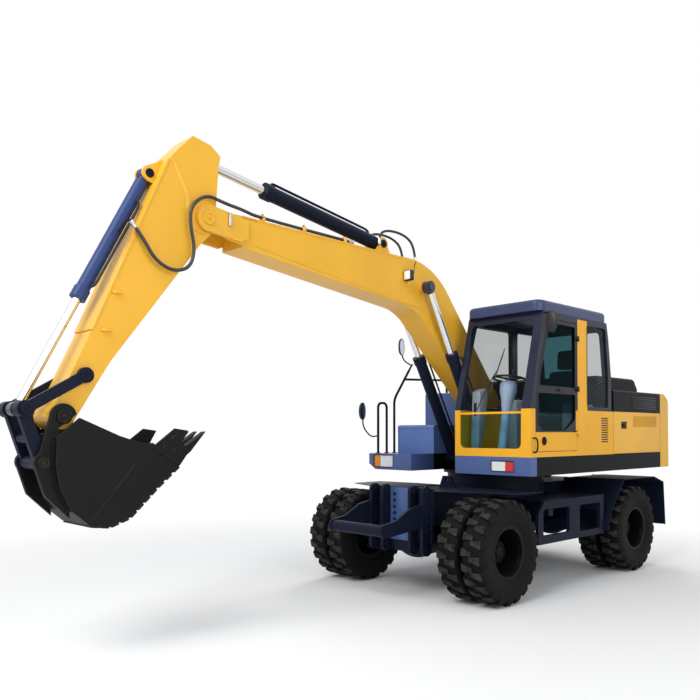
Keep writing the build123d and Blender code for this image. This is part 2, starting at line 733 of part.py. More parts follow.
with BuildPart() as cab_interior:
    floor = deck_top + 40
    block((-560, -40), (430, 940), (floor, floor + 330))
    block((-520, 0), (440, 930), (floor + 330, floor + 440))
    plate(side(930), [(-430, floor + 430), (-540, floor + 1000), (-640, floor + 1000),
                      (-560, floor + 430)], 490)
    plate(side(820), [(-520, floor + 1000), (-545, floor + 1260), (-630, floor + 1260),
                      (-640, floor + 1000)], 270)
    # Consoles beside the seat
    block((-480, 120), (262, 400), (floor, floor + 620))
    block((-480, 60), (970, 1100), (floor, floor + 560))
    # Monitor stand at the right front corner
    plate(side(400), [(820, floor), (900, floor), (860, floor + 700), (720, floor + 740),
                      (690, floor + 640)], 110)
    # Steering column and wheel
    rod((857, 700, floor + 15), (717, 700, floor + 820), 60)
    block((780, 930), (610, 790), (floor, floor + 40))
    with BuildSketch(Plane(origin=(715, 700, floor + 815), z_dir=(-0.17, 0, 1))):
        Circle(190)
        Circle(165, mode=Mode.SUBTRACT)
        Rectangle(340, 40)
    extrude(amount=24)

with BuildPart() as handrails:
    pipe([(655, rail_y, deck_top), (655, rail_y, 2175), (310, rail_y, 2640)], 60, rail)
    pipe([(452, rail_y, 2446), (-440, rail_y, 2478), (-440, rail_y, tank_top)], 60, rail)
    pipe([(960, rail_y, deck_top), (960, rail_y, 2120), (800, rail_y, 2120),
          (800, rail_y, deck_top)], 60, rail)
    # Mirror arms with their mirrors
    pipe([(960, rail_y, 1700), (1040, -1170, 1680), (1130, -1225, 1810), (1130, -1225, 2010)],
         30, 9)
    rod((310, rail_y, 2640), (400, -1180, 2700), 9)
    rod((400, -1180, 2700), (430, -1190, 2800), 9)
    with Locations((1148, -1225, 2010)):
        Box(36, 150, 220)
    with Locations((440, -1190, 2880)):
        Box(36, 150, 220)
    # Mirror on the left front pillar, outside the door's swing, and the grab handle below it
    rod((772, body_half_width + seat_gap, 3030), (772, 1262, 3030), 9)
    plate(front(775), [(1212, 2800), (1352, 2800), (1352, 3045), (1212, 3045)], 40, radius=35)
    pipe([(1000, body_half_width, 1680), (1000, body_half_width + 55, 1680),
          (1000, body_half_width + 55, 1530), (1000, body_half_width, 1530)], 25, 9)

with BuildPart() as lamps:
    for y0, y1 in ((-1105, -1010), (-1000, -780)):
        block((body_front - 39.7, body_front - 8), (y0, y1), (deck_bottom + 35, deck_top - 20))
    block((body_front - 11.7, body_front - 2), (692, 973), (deck_bottom + 47, deck_bottom + 148))

# Boom: welded box beam, seen from the side
foot_x, foot_z = boom_foot
tip_x, tip_z = boom_tip
with BuildPart() as boom:
    with BuildSketch(side(boom_y + boom_width / 2)):
        with BuildLine():
            Polyline((foot_x - 131, foot_z + 112), (1212, 3680), (tip_x - 366, tip_z + 100),
                     (tip_x - 366, tip_z - 185), (1539, 3135), (foot_x + 122, foot_z - 122),
                     close=True)
        make_face()
        fillet(vertices().group_by(Axis.Y)[-2:][0].sort_by(Axis.X)[0], 900)
        fillet(vertices().sort_by_distance((1539, 3135))[0], 600)
    extrude(amount=boom_width)
    disc(side(boom_y + boom_width / 2), boom_foot, boom_foot_radius, boom_width)
    # Cheeks of the fork that holds the arm
    for y in (boom_y + boom_width / 2 + 30, boom_y - boom_width / 2):
        with BuildSketch(side(y)):
            with BuildLine():
                Polyline((tip_x - 420, tip_z + 60), (tip_x, tip_z + boom_tip_radius),
                         (tip_x + 40, tip_z - boom_tip_radius + 8), (tip_x - 330, tip_z - 150),
                         (tip_x - 420, tip_z - 110), close=True)
            make_face()
            with Locations(boom_tip):
                Circle(boom_tip_radius)
        extrude(amount=30)
    disc(side(boom_y + boom_width / 2 + 31), boom_tip, 50, boom_width + 62)
    # Clips under the pipe on the top plate
    for x in (2600, 3150, 3650):
        top = 3680 + 20 * (x - 1212) / 2688
        block((x - 15, x + 15), (-35, -5), (3670, top + 7.7))
    # Bosses that face the eyes of the boom cylinders
    disc(side(boom_y + boom_cylinder_spread - 45 - seat_gap), boom_cylinder_eye, 60,
         2 * (boom_cylinder_spread - 45 - seat_gap))
    # Bracket of the arm cylinder
    for y in (boom_y + 75, boom_y - 50.3):
        with BuildSketch(side(y)):
            with BuildLine():
                Polyline((arm_cylinder_foot[0] - 130, 3670), (arm_cylinder_foot[0] + 150, 3672),
                         (arm_cylinder_foot[0] + 50, arm_cylinder_foot[1]),
                         (arm_cylinder_foot[0] - 50, arm_cylinder_foot[1]), close=True)
            make_face()
            with Locations(arm_cylinder_foot):
                Circle(70)
        extrude(amount=24.7)
    disc(side(boom_y + 76), arm_cylinder_foot, pin_radius, 152)
    disc(side(boom_y + boom_width / 2 + 1), boom_foot, 48 + running_fit, boom_width + 2,
         mode=Mode.SUBTRACT)

# Hoses and pipes that run along the boom, over its pivot and down to the cylinders
with BuildPart() as arm_hose:
    hose([(2480, -20, 3712.4), (3700, -20, 3721.5), (3900, 26, 3740), (4120, 36, 3757),
          (4300, 44, 3790), (4460, 52, 3660), (4465, 54, 3480), (4418, 56, 3290),
          (4470, 56, 3120), (4640, 56, 3070), (4800, 50, 3150), (4890, 42, 3300),
          (4990, 22, 3425)], 15)

with BuildPart() as cylinder_hoses:
    for y in (boom_y + 93, boom_y - 93):
        hose([(2045, y, 3780), (2050, y, 3895), (1900, y, 3960), (1640, y, 3955),
              (1470, y, 3860), (1452, y, 3669.6)], 14)

with BuildPart() as boom_lamp:
    with Locations((1700, boom_y + boom_width / 2 + 60, 3470)):
        Box(60, 110, 110)
    block((1640, 1672), (boom_y + boom_width / 2, boom_y + boom_width / 2 + 60), (3400, 3430))
    block((1640, 1672), (boom_y + boom_width / 2 + 20, boom_y + boom_width / 2 + 60),
          (3400, 3500))

# Arm
with BuildPart() as arm:
    with BuildSketch(side(boom_y + arm_width / 2)):
        with BuildLine():
            Polyline((4410, 4280), (4230, 4245), (4130, 4170), (4150, 4060), (4180, 3640),
                     (4190, 3500), (4335, 3353), (5148, 2290), (5437, 1820), (5575, 1935),
                     (5296, 2526), (4640, 4020), (4583, 4093), close=True)
        make_face()
    extrude(amount=arm_width)
    disc(side(boom_y + arm_width / 2), boom_tip, 132, arm_width)
    disc(side(boom_y + arm_width / 2), bucket_pin, 95, arm_width)
    # Slot for the eye of the arm cylinder
    block((3900, 4405), (boom_y - 52, boom_y + 52), (4000, 4400), mode=Mode.SUBTRACT)
    # Ears of the bucket cylinder
    foot = bucket_cylinder_foot
    for y in (boom_y + 70, boom_y - 46.3):
        with BuildSketch(side(y)):
            with BuildLine():
                Polyline((4560, 4080), (4700, 3800), (foot[0] + 30, foot[1] - 60), foot,
                         (foot[0] + 20, foot[1] + 60), close=True)
            make_face()
            with Locations(foot):
                Circle(64)
        extrude(amount=23.7)
    disc(side(boom_y + 71), foot, 30, 142)
    # Guide link pivot
    disc(side(boom_y + arm_width / 2 + 45), guide_pin, 30, arm_width + 90)
    disc(side(boom_y + arm_width / 2 + 1), boom_tip, 50 + running_fit, arm_width + 2,
         mode=Mode.SUBTRACT)
    disc(side(boom_y + arm_width / 2 + 1), bucket_pin, 40 + running_fit, arm_width + 2,
         mode=Mode.SUBTRACT)

# Bucket
half_bucket = bucket_width / 2
bucket_side = [(5430, 1847), (5273, 1781), (5111, 1712), (4942, 1660), (4810, 1639), (4560, 1648),
               (4490, 1590), (4582, 1471), (4791, 1293), (5023, 1075), (5188, 1018),
               (5347, 1038), (5485, 1153), (5576, 1320), (5607, 1503), (5601, 1706)]
bucket_hollow = [(5395, 1900), (5273, 1850), (4400, 1800), (4400, 1640), (4500, 1600),
                 (4600, 1490), (4806, 1313), (5032, 1098), (5186, 1044), (5335, 1064),
                 (5463, 1168), (5549, 1326), (5578, 1503), (5570, 1700), (5565, 1770)]
with BuildPart() as bucket:
    plate(side(boom_y + half_bucket), bucket_side, bucket_width)
    plate(side(boom_y + half_bucket - 25), bucket_hollow, bucket_width - 50, mode=Mode.SUBTRACT)
    # Hinge plates that carry the two pins
    ear_line = [(5525, 1952), (5440, 1900), (5400, 1700), (5500, 1300), (5474, 1095),
                (5660, 1270), (5741, 1505), (5700, 1600), (5614, 1889)]
    for y in (boom_y + arm_width / 2 + moving_gap + ear_thickness,
              boom_y - arm_width / 2 - moving_gap):
        with BuildSketch(side(y)):
            with BuildLine():
                Polyline(*ear_line, close=True)
            make_face()
            with Locations(bucket_pin):
                Circle(98)
            with Locations(link_pin):
                Circle(75)
        extrude(amount=ear_thickness)
    plate(side(boom_y + half_bucket - 25), bucket_hollow, bucket_width - 50, mode=Mode.SUBTRACT)
    pin_reach = arm_width / 2 + moving_gap + ear_thickness + 8
    disc(side(boom_y + pin_reach), bucket_pin, 40, 2 * pin_reach)
    disc(side(boom_y + pin_reach), link_pin, 34, 2 * pin_reach)
    # Teeth and side cutters
    for column in range(4):
        y = boom_y + half_bucket - 20 - column * (bucket_width - 110) / 3
        plate(side(y), [(4600, 1480), (4560, 1600), (4480, 1650), (4323, 1748), (4470, 1580)], 70)
    for y in (boom_y + half_bucket + 16, boom_y - half_bucket):
        plate(side(y), [(4810, 1600), (4810, 1645), (4640, 1772), (4517, 1755), (4582, 1640),
                        (4600, 1480)], 16)

# Links between the bucket cylinder and the bucket
link_y = boom_y + arm_width / 2 + moving_gap
with BuildPart() as guide_links:
    for y in (link_y + 40, boom_y - arm_width / 2 - moving_gap):
        strap(y, 40, guide_pin, cross_pin, 60, cross_boss_radius, bar=82)
    for y in (link_y + 52, boom_y - arm_width / 2 - moving_gap - 38):
        disc(side(y), cross_pin, 36, 14)
    disc(side(link_y + 41), guide_pin, 30 + running_fit, 42, mode=Mode.SUBTRACT)
    disc(side(boom_y - arm_width / 2 - moving_gap + 1), guide_pin, 30 + running_fit, 42,
         mode=Mode.SUBTRACT)

with BuildPart() as bucket_link:
    for y in (boom_y + 150, boom_y - 96):
        strap(y, 54, cross_pin, link_pin, cross_boss_radius, 55, bar=90)
    for y in (boom_y + 150, boom_y - 45 - seat_gap):
        disc(side(y), cross_pin, 50, 105 - seat_gap)
    web = along(cross_pin, link_pin, 225)
    disc(side(boom_y + 97), web, 40, 194)
    disc(side(boom_y + 97), link_pin, 55, 194)
    disc(side(boom_y + 151), link_pin, 34 + running_fit, 302, mode=Mode.SUBTRACT)


# Hydraulic cylinders. Each barrel and rod lies on the line from its foot to its eye.
def barrel(y, start, end, radius, bore, length, eye_radius, eye_width):
    """Barrel with its foot eye, neck and end gland."""
    disc(side(y + eye_width / 2), start, eye_radius, eye_width)
    neck = along(start, end, eye_radius + 25)
    rod((start[0], y, start[1]), (neck[0], y, neck[1]), eye_width / 2 - 6)
    base = along(start, end, eye_radius + 20)
    top = along(start, end, length)
    rod((base[0], y, base[1]), (top[0], y, top[1]), radius)
    collar = along(start, end, length - 90)
    rod((collar[0], y, collar[1]), (top[0], y, top[1]), radius + 9)
    mouth = along(start, end, length + 1)
    inner = along(start, end, eye_radius + 50)
    rod((inner[0], y, inner[1]), (mouth[0], y, mouth[1]), bore, mode=Mode.SUBTRACT)


def piston_rod(y, start, end, radius, inside, eye_radius, eye_width):
    """Chromed rod from inside the barrel to its eye."""
    inner = along(start, end, inside)
    reach = hypot(end[0] - start[0], end[1] - start[1])
    outer = along(start, end, reach - eye_radius + 12)
    rod((inner[0], y, inner[1]), (outer[0], y, outer[1]), radius)
    disc(side(y + eye_width / 2), end, eye_radius, eye_width)


with BuildPart() as boom_barrels:
    for y in (boom_y + boom_cylinder_spread, boom_y - boom_cylinder_spread):
        barrel(y, boom_cylinder_foot, boom_cylinder_eye, boom_barrel_radius,
               boom_rod_radius + running_fit, 1420, 72, 100)
        disc(side(y + 51), boom_cylinder_foot, pin_radius + running_fit, 102, mode=Mode.SUBTRACT)

with BuildPart() as boom_rods:
    for y in (boom_y + boom_cylinder_spread, boom_y - boom_cylinder_spread):
        piston_rod(y, boom_cylinder_foot, boom_cylinder_eye, boom_rod_radius, 1000, 66, 90)
        cap = y + 59 if y > boom_y else y - 45
        disc(side(cap), boom_cylinder_eye, 48, 14)

with BuildPart() as arm_barrel:
    barrel(boom_y, arm_cylinder_foot, arm_cylinder_eye, arm_barrel_radius,
           arm_rod_radius + running_fit, 1600, 66, 100)
    disc(side(boom_y + 51), arm_cylinder_foot, pin_radius + running_fit, 102, mode=Mode.SUBTRACT)

with BuildPart() as arm_rod:
    piston_rod(boom_y, arm_cylinder_foot, arm_cylinder_eye, arm_rod_radius, 980, 62, 94)

with BuildPart() as bucket_barrel:
    barrel(boom_y, bucket_cylinder_foot, cross_pin, bucket_barrel_radius,
           bucket_rod_radius + running_fit, 1250, 58, 92)
    disc(side(boom_y + 47), bucket_cylinder_foot, 30 + running_fit, 94, mode=Mode.SUBTRACT)

with BuildPart() as bucket_rod:
    piston_rod(boom_y, bucket_cylinder_foot, cross_pin, bucket_rod_radius, 960, 55, 90)

pieces = {
    "chassis_frame": chassis_frame,
    "turret": turret,
    "cross_beams": cross_beams,
    "front_step": front_step,
    "slewing_ring": slewing_ring,
    "chassis_guards": chassis_guards,
    "rear_guards": rear_guards,
    "axle_front": axle_front,
    "axle_rear": axle_rear,
    "driveline": driveline,
    **knuckles,
    "tie_rod": tie_rod,
    **wheels,
    "swing_deck": swing_deck,
    "front_platforms": front_platforms,
    "counterweight": counterweight,
    "fuel_tank": fuel_tank,
    "toolbox": toolbox,
    "toolbox_lid": toolbox_lid,
    "engine_block": engine_block,
    "engine_hood": engine_hood,
    "engine_band": engine_band,
    **service_doors,
    "cab_shell": cab_shell,
    "cab_roof": cab_roof,
    "cab_glass": cab_glass,
    "cab_door": cab_door,
    "door_glass": door_glass,
    "cab_interior": cab_interior,
    "handrails": handrails,
    "lamps": lamps,
    "boom": boom,
    "boom_lamp": boom_lamp,
    "arm_hose": arm_hose,
    "cylinder_hoses": cylinder_hoses,
    "arm": arm,
    "bucket": bucket,
    "guide_links": guide_links,
    "bucket_link": bucket_link,
    "boom_barrels": boom_barrels,
    "boom_rods": boom_rods,
    "arm_barrel": arm_barrel,
    "arm_rod": arm_rod,
    "bucket_barrel": bucket_barrel,
    "bucket_rod": bucket_rod,
}

os.makedirs("parts", exist_ok=True)
for label, piece in pieces.items():
    piece.part = piece.part.moved(Location((-middle_x, 0, 0)))
    piece.part.label = label
    export_step(piece.part, f"parts/{label}.step")
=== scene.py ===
# %% [markdown]
# # A wheeled excavator in a plain studio
#
# The machine comes from CAD as a frame of exact solids. This lesson dresses that frame: it gives every
# solid a finish, replaces the plain tyres by treaded ones, adds the small things that a CAD model
# leaves out, and stands the machine on a pale floor in soft light.
#
# Places are given in millimetres from the slewing axis, x forward, y to the driver's left and z up, as
# a fitter would measure them, and one function turns them into the frame's metres.

# %% Load the frame
import json
import math

import bpy
from mathutils import Matrix, Vector


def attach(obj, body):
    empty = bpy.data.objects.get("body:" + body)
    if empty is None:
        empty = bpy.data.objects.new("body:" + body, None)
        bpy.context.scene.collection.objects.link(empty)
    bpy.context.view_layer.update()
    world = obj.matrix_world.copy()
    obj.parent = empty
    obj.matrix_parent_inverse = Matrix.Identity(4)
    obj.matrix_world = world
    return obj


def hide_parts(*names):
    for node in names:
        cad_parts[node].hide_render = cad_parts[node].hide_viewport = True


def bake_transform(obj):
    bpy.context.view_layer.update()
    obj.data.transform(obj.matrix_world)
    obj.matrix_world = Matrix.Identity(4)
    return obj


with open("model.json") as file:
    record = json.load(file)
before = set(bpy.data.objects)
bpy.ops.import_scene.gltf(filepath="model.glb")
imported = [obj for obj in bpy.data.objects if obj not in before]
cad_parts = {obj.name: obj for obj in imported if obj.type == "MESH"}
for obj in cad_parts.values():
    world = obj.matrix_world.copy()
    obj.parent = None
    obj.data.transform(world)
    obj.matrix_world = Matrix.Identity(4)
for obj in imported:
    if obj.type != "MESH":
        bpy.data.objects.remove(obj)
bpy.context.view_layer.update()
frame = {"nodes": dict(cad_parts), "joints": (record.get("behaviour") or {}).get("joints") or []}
nodes = frame["nodes"]
joint = {entry["name"]: entry for entry in frame["joints"]}
slew_x = joint["swing"]["pos_m"][0]
print("nodes", len(nodes), "slewing axis at x", slew_x)


# %% Places and selection
MM = 0.001


def spot(x, y, z):
    """A place from the slewing axis in millimetres, in the frame's metres."""
    return Vector((x * MM + slew_x, y * MM, z * MM))


def clear():
    """Leaves edit mode and deselects everything, because an operator acts on all that is selected."""
    if bpy.context.object and bpy.context.object.mode != "OBJECT":
        bpy.ops.object.mode_set(mode="OBJECT")
    bpy.ops.object.select_all(action="DESELECT")


clear()
print("front left wheel stands at", joint["wheel_front_left_spin"]["pos_m"])

# %% [markdown]
# ## The camera
#
# The photograph was taken from the front left at about eye height. The lens and the place were worked
# out from the tyres and the cab, whose sizes are known. A small upward shift stands for the picture
# having been cropped, so that upright posts stay nearly upright.

# %% Camera
camera_data = bpy.data.cameras.new("photo_camera")
camera = bpy.data.objects.new("photo_camera", camera_data)
bpy.context.scene.collection.objects.link(camera)
camera.location = spot(7802.3, 5451.8, 1738.6)
yaw, pitch = math.radians(-133.981), math.radians(1.1395)
looking = Vector((math.cos(pitch) * math.cos(yaw), math.cos(pitch) * math.sin(yaw), math.sin(pitch)))
camera.rotation_mode = "QUATERNION"
camera.rotation_quaternion = looking.to_track_quat("-Z", "Y")
camera_data.sensor_width = 36
camera_data.lens = 38.0
camera_data.shift_y = 0.0969
camera_data.clip_end = 200
bpy.context.scene.camera = camera
print("camera", tuple(round(v, 3) for v in camera.location))

# %% [markdown]
# ## Floor, sky and lamps
#
# A studio picture of a machine has a white surround with no horizon. The floor is a large pale sheet
# that keeps the machine's shadow and fades to plain white some way off. The world is white to the
# camera and to mirrors, and half as strong as a light, and three large soft lamps give form: a key
# from ahead and above, a fill from the camera's side, and a rim from behind.


# %% Colours and nodes
def linear(hex_colour):
    """A colour written as sRGB hex, as the linear values that a shader wants."""
    values = [int(hex_colour[i:i + 2], 16) / 255 for i in (1, 3, 5)]
    return tuple(v / 12.92 if v <= 0.04045 else ((v + 0.055) / 1.055) ** 2.4 for v in values) + (1.0,)


def add(tree, kind, inputs=None, **settings):
    """Adds a node, sets its settings, and fills its inputs with values or links."""
    node = tree.nodes.new(kind)
    for name, value in settings.items():
        setattr(node, name, value)
    for name, value in (inputs or {}).items():
        if isinstance(value, bpy.types.NodeSocket):
            tree.links.new(value, node.inputs[name])
        else:
            node.inputs[name].default_value = value
    return node


def new_material(name):
    """An empty material, with its tree and its output node."""
    material = bpy.data.materials.new(name)
    material.use_nodes = True
    material.node_tree.nodes.clear()
    return material, material.node_tree, material.node_tree.nodes.new("ShaderNodeOutputMaterial")


print("pale yellow in linear", [round(v, 3) for v in linear("#f2c03d")])

# %% World
world = bpy.data.worlds.new("studio_sky")
bpy.context.scene.world = world
world.use_nodes = True
sky = world.node_tree
sky.nodes.clear()
rays = add(sky, "ShaderNodeLightPath")
seen = add(sky, "ShaderNodeMath", {0: rays.outputs["Is Camera Ray"], 1: rays.outputs["Is Transmission Ray"]},
           operation="ADD", use_clamp=True)
seen_or_mirrored = add(sky, "ShaderNodeMath", {0: seen.outputs[0], 1: rays.outputs["Is Glossy Ray"]},
                       operation="ADD", use_clamp=True)
lighting = add(sky, "ShaderNodeBackground", {"Color": linear("#eef3fa"), "Strength": 0.5})
white = add(sky, "ShaderNodeBackground", {"Color": (1, 1, 1, 1), "Strength": 1.0})
both = add(sky, "ShaderNodeMixShader", {0: seen_or_mirrored.outputs[0], 1: lighting.outputs[0],
                                        2: white.outputs[0]})
add(sky, "ShaderNodeOutputWorld", {0: both.outputs[0]})
print("world nodes", len(sky.nodes))

# %% Floor
bpy.ops.mesh.primitive_grid_add(x_subdivisions=2, y_subdivisions=2, size=160, location=(0, 0, -0.002))
floor = bpy.context.object
floor.name = "studio_floor"
material, tree, out = new_material("pale_floor")
place = add(tree, "ShaderNodeTexCoord")
away = add(tree, "ShaderNodeVectorMath", {0: place.outputs["Object"]}, operation="LENGTH")
far = add(tree, "ShaderNodeMapRange", {"Value": away.outputs["Value"], "From Min": 3.0, "From Max": 7.5})
rays = add(tree, "ShaderNodeLightPath")
fade = add(tree, "ShaderNodeMath", {0: far.outputs[0], 1: rays.outputs["Is Camera Ray"]},
           operation="MULTIPLY")
matte = add(tree, "ShaderNodeBsdfPrincipled", {"Base Color": linear("#f8f8f7"), "Roughness": 0.85,
                                               "Specular IOR Level": 0.15})
plain = add(tree, "ShaderNodeEmission", {"Color": (1, 1, 1, 1), "Strength": 1.0})
mixed = add(tree, "ShaderNodeMixShader", {0: fade.outputs[0], 1: matte.outputs[0], 2: plain.outputs[0]})
tree.links.new(mixed.outputs[0], out.inputs[0])
floor.data.materials.append(material)
print("floor", [round(v) for v in floor.dimensions])

# %% Lamps
lamp_table = [
    # name, place (m), aimed at (m), size (m), power (W)
    ("key", (9.0, 1.5, 9.5), (0.5, 0.0, 1.6), 6.0, 880),
    ("fill", (2.5, 11.0, 5.0), (0.0, 0.0, 1.6), 7.0, 400),
    ("rim", (-9.0, -5.0, 7.5), (-0.5, 0.0, 1.8), 5.0, 380),
]
for name, where, at, size, power in lamp_table:
    lamp_data = bpy.data.lights.new(name, "AREA")
    lamp_data.shape = "SQUARE"
    lamp_data.size = size
    lamp_data.energy = power
    lamp = bpy.data.objects.new(name, lamp_data)
    bpy.context.scene.collection.objects.link(lamp)
    lamp.location = where
    lamp.rotation_mode = "QUATERNION"
    lamp.rotation_quaternion = (Vector(at) - Vector(where)).to_track_quat("-Z", "Y")
bpy.context.scene.view_settings.view_transform = "Standard"
print("lamps", [entry[0] for entry in lamp_table])

# %% [markdown]
# ## Machine enamel
#
# The plates are sprayed with two-part enamel over steel. It is smooth but not flat: sprayed paint has
# a faint orange-peel skin a few millimetres across, its colour drifts a little over a plate, and dust
# settles on what faces up. An image could not follow the CAD solids, which have no UV map, so all of
# this comes from noise on the object's own coordinates, at real sizes. Corners get a drawn-in
# highlight from a small bevel in the shading, as every pressed edge has.


# %% Enamel
edge_width = 3.0


def enamel(name, colour, rough=0.34, coat=0.2, dust=0.05, shine=0.35):
    """Sprayed enamel. Returns the material, its tree, its shader and its base colour mixer.

    Dark paints take a low shine and coat, or the white studio lifts them to grey.
    """
    material, tree, out = new_material(name)
    place = add(tree, "ShaderNodeTexCoord")
    drift = add(tree, "ShaderNodeTexNoise", {"Vector": place.outputs["Object"], "Scale": 1.3, "Detail": 4.0})
    shade = add(tree, "ShaderNodeMapRange", {"Value": drift.outputs[0], "From Min": 0.3, "From Max": 0.7,
                                             "To Min": 0.93, "To Max": 1.05})
    base = add(tree, "ShaderNodeMix", {0: 1.0, 6: linear(colour), 7: shade.outputs[0]}, data_type="RGBA",
               blend_type="MULTIPLY")
    # Dust lies on faces that look up, broken into patches about 150 mm across
    surface = add(tree, "ShaderNodeNewGeometry")
    facing = add(tree, "ShaderNodeSeparateXYZ", {0: surface.outputs["Normal"]})
    patches = add(tree, "ShaderNodeTexNoise", {"Vector": place.outputs["Object"], "Scale": 6.5,
                                               "Detail": 8.0, "Roughness": 0.65})
    upward = add(tree, "ShaderNodeMapRange", {"Value": facing.outputs["Z"], "From Min": 0.2,
                                              "From Max": 1.0, "To Min": 0.15, "To Max": 1.0})
    amount = add(tree, "ShaderNodeMath", {0: upward.outputs[0], 1: patches.outputs[0]},
                 operation="MULTIPLY")
    thin = add(tree, "ShaderNodeMath", {0: amount.outputs[0], 1: dust}, operation="MULTIPLY")
    dusty = add(tree, "ShaderNodeMix", {0: thin.outputs[0], 6: base.outputs[2], 7: linear("#9c9384")},
                data_type="RGBA")
    # Orange peel, 4 mm across, drawn a little coarser than the real 2 mm so that it can be seen
    peel = add(tree, "ShaderNodeTexNoise", {"Vector": place.outputs["Object"], "Scale": 250.0, "Detail": 1.0})
    soft = add(tree, "ShaderNodeBevel", {"Radius": edge_width * MM}, samples=4)
    skin = add(tree, "ShaderNodeBump", {"Height": peel.outputs[0], "Strength": 0.06, "Distance": 0.001,
                                        "Normal": soft.outputs[0]})
    gloss = add(tree, "ShaderNodeMapRange", {"Value": patches.outputs[0], "To Min": rough - 0.06,
                                             "To Max": rough + 0.1})
    shader = add(tree, "ShaderNodeBsdfPrincipled", {"Base Color": dusty.outputs[2],
                                                    "Roughness": gloss.outputs[0], "IOR": 1.5,
                                                    "Specular IOR Level": shine,
                                                    "Coat Weight": coat, "Coat Roughness": 0.12,
                                                    "Normal": skin.outputs[0]})
    tree.links.new(shader.outputs[0], out.inputs[0])
    return material, tree, shader, base


yellow = enamel("yellow_enamel", "#eeb22c", rough=0.36)[0]
blue = enamel("slate_blue_enamel", "#465e93", rough=0.34)[0]
pale_blue = enamel("pale_blue_enamel", "#5c7bba", rough=0.34)[0]
deep_blue = enamel("deep_blue_enamel", "#2c3f70", rough=0.4, coat=0.05, dust=0.04, shine=0.16)[0]
navy = enamel("dark_navy_enamel", "#141a2b", rough=0.4, coat=0.02, dust=0.02, shine=0.08)[0]
black = enamel("black_enamel", "#101115", rough=0.42, coat=0.02, dust=0.02, shine=0.08)[0]
roof_paint = enamel("roof_navy_enamel", "#384366", rough=0.3, coat=0.1, shine=0.25)[0]
rim_paint = enamel("rim_black_enamel", "#08090b", rough=0.4, coat=0.02, dust=0.03, shine=0.1)[0]
print("paints", [m.name for m in (yellow, blue, pale_blue, deep_blue, navy, black, roof_paint, rim_paint)])

# %% [markdown]
# ## Paint that changes along a part
#
# On the real machine one pressing often carries two colours, masked along a straight line: the cab is
# yellow up to its belt and on the pillar behind the door, and dark above. The mask is made from the
# object's coordinates with plain comparisons, so it is exact and stays put when the part moves.


# %% Two-colour paint
def masked(name, first, second, boxes):
    """Enamel in the first colour, with the second inside any of the boxes given in millimetres."""
    material, tree, shader, base = enamel(name, first, rough=0.34, coat=0.08, shine=0.22)
    place = add(tree, "ShaderNodeTexCoord")
    axes = add(tree, "ShaderNodeSeparateXYZ", {0: place.outputs["Object"]})
    total = None
    for low, high in boxes:
        lo, hi = spot(*low), spot(*high)
        inside = None
        for k in range(3):
            middle, half = (lo[k] + hi[k]) / 2, (hi[k] - lo[k]) / 2
            test = add(tree, "ShaderNodeMath", {0: axes.outputs[k], 1: middle, 2: half},
                       operation="COMPARE")
            if inside is None:
                inside = test
            else:
                inside = add(tree, "ShaderNodeMath", {0: inside.outputs[0], 1: test.outputs[0]},
                             operation="MULTIPLY")
        if total is None:
            total = inside
        else:
            total = add(tree, "ShaderNodeMath", {0: total.outputs[0], 1: inside.outputs[0]},
                        operation="MAXIMUM")
    pick = add(tree, "ShaderNodeMix", {0: total.outputs[0], 6: linear(first), 7: linear(second)},
               data_type="RGBA")
    tree.links.new(pick.outputs[2], base.inputs[6])
    return material


cab_paint = masked("cab_two_tone_enamel", "#1c2236", "#f0ae26", [
    ((-900, 100, 1300), (1100, 1300, 1992)),
    ((-156, 1000, 1300), (66, 1300, 3035)),
])
door_paint = masked("door_two_tone_enamel", "#16181f", "#f0ae26", [
    ((-900, 1000, 1300), (1100, 1300, 1742)),
    ((66, 1000, 1300), (112, 1300, 1990)),
])
print("two-tone", cab_paint.name, door_paint.name)

# %% [markdown]
# ## Rubber, steel, chrome, glass and plastic
#
# Tyre rubber is matt and almost black, greyed a little by dry soil, more so on the tread.
# Bucket steel is dark and scoured paler along its edges and teeth. Rods are hard
# chrome. The panes are tinted safety glass, thin enough to be shown as a coloured film with a mirror
# on top, which lets the light through to the seat.

# %% Tyre rubbers
def road_rubber(name, soil_scale, soil_range, tones, grain_scale, grain_detail, depth, rough):
    """Carbon-black rubber, matt, between a clean and a soiled tone, with a fine moulded grain.

    Soil lies in patches of 1/soil_scale metres. The grain of 6 to 8 mm is drawn far coarser than
    the real one, so that it shows.
    """
    material, tree, out = new_material(name)
    place = add(tree, "ShaderNodeTexCoord")
    soil = add(tree, "ShaderNodeTexNoise", {"Vector": place.outputs["Object"], "Scale": soil_scale,
                                            "Detail": 8.0, "Roughness": 0.7})
    low, high, least, most = soil_range
    worn = add(tree, "ShaderNodeMapRange", {"Value": soil.outputs[0], "From Min": low, "From Max": high,
                                            "To Min": least, "To Max": most})
    tone = add(tree, "ShaderNodeMix", {0: worn.outputs[0], 6: linear(tones[0]), 7: linear(tones[1])},
               data_type="RGBA")
    grain = add(tree, "ShaderNodeTexNoise", {"Vector": place.outputs["Object"], "Scale": grain_scale,
                                             "Detail": grain_detail})
    skin = add(tree, "ShaderNodeBump", {"Height": grain.outputs[0], "Strength": depth[0],
                                        "Distance": depth[1]})
    shader = add(tree, "ShaderNodeBsdfPrincipled", {"Base Color": tone.outputs[2], "Roughness": rough,
                                                    "Specular IOR Level": 0.14, "IOR": 1.52,
                                                    "Normal": skin.outputs[0]})
    tree.links.new(shader.outputs[0], out.inputs[0])
    return material


rubber = road_rubber("tyre_rubber", 9.0, (0.42, 0.72, 0.12, 0.75), ("#060607", "#121212"), 180.0, 3.0,
                     (0.25, 0.002), 0.72)
tread_rubber = road_rubber("worn_tread_rubber", 14.0, (0.38, 0.66, 0.0, 1.0), ("#1b1b1c", "#3d3c3a"),
                           120.0, 5.0, (0.4, 0.003), 0.82)
print("rubbers", rubber.name, tread_rubber.name)

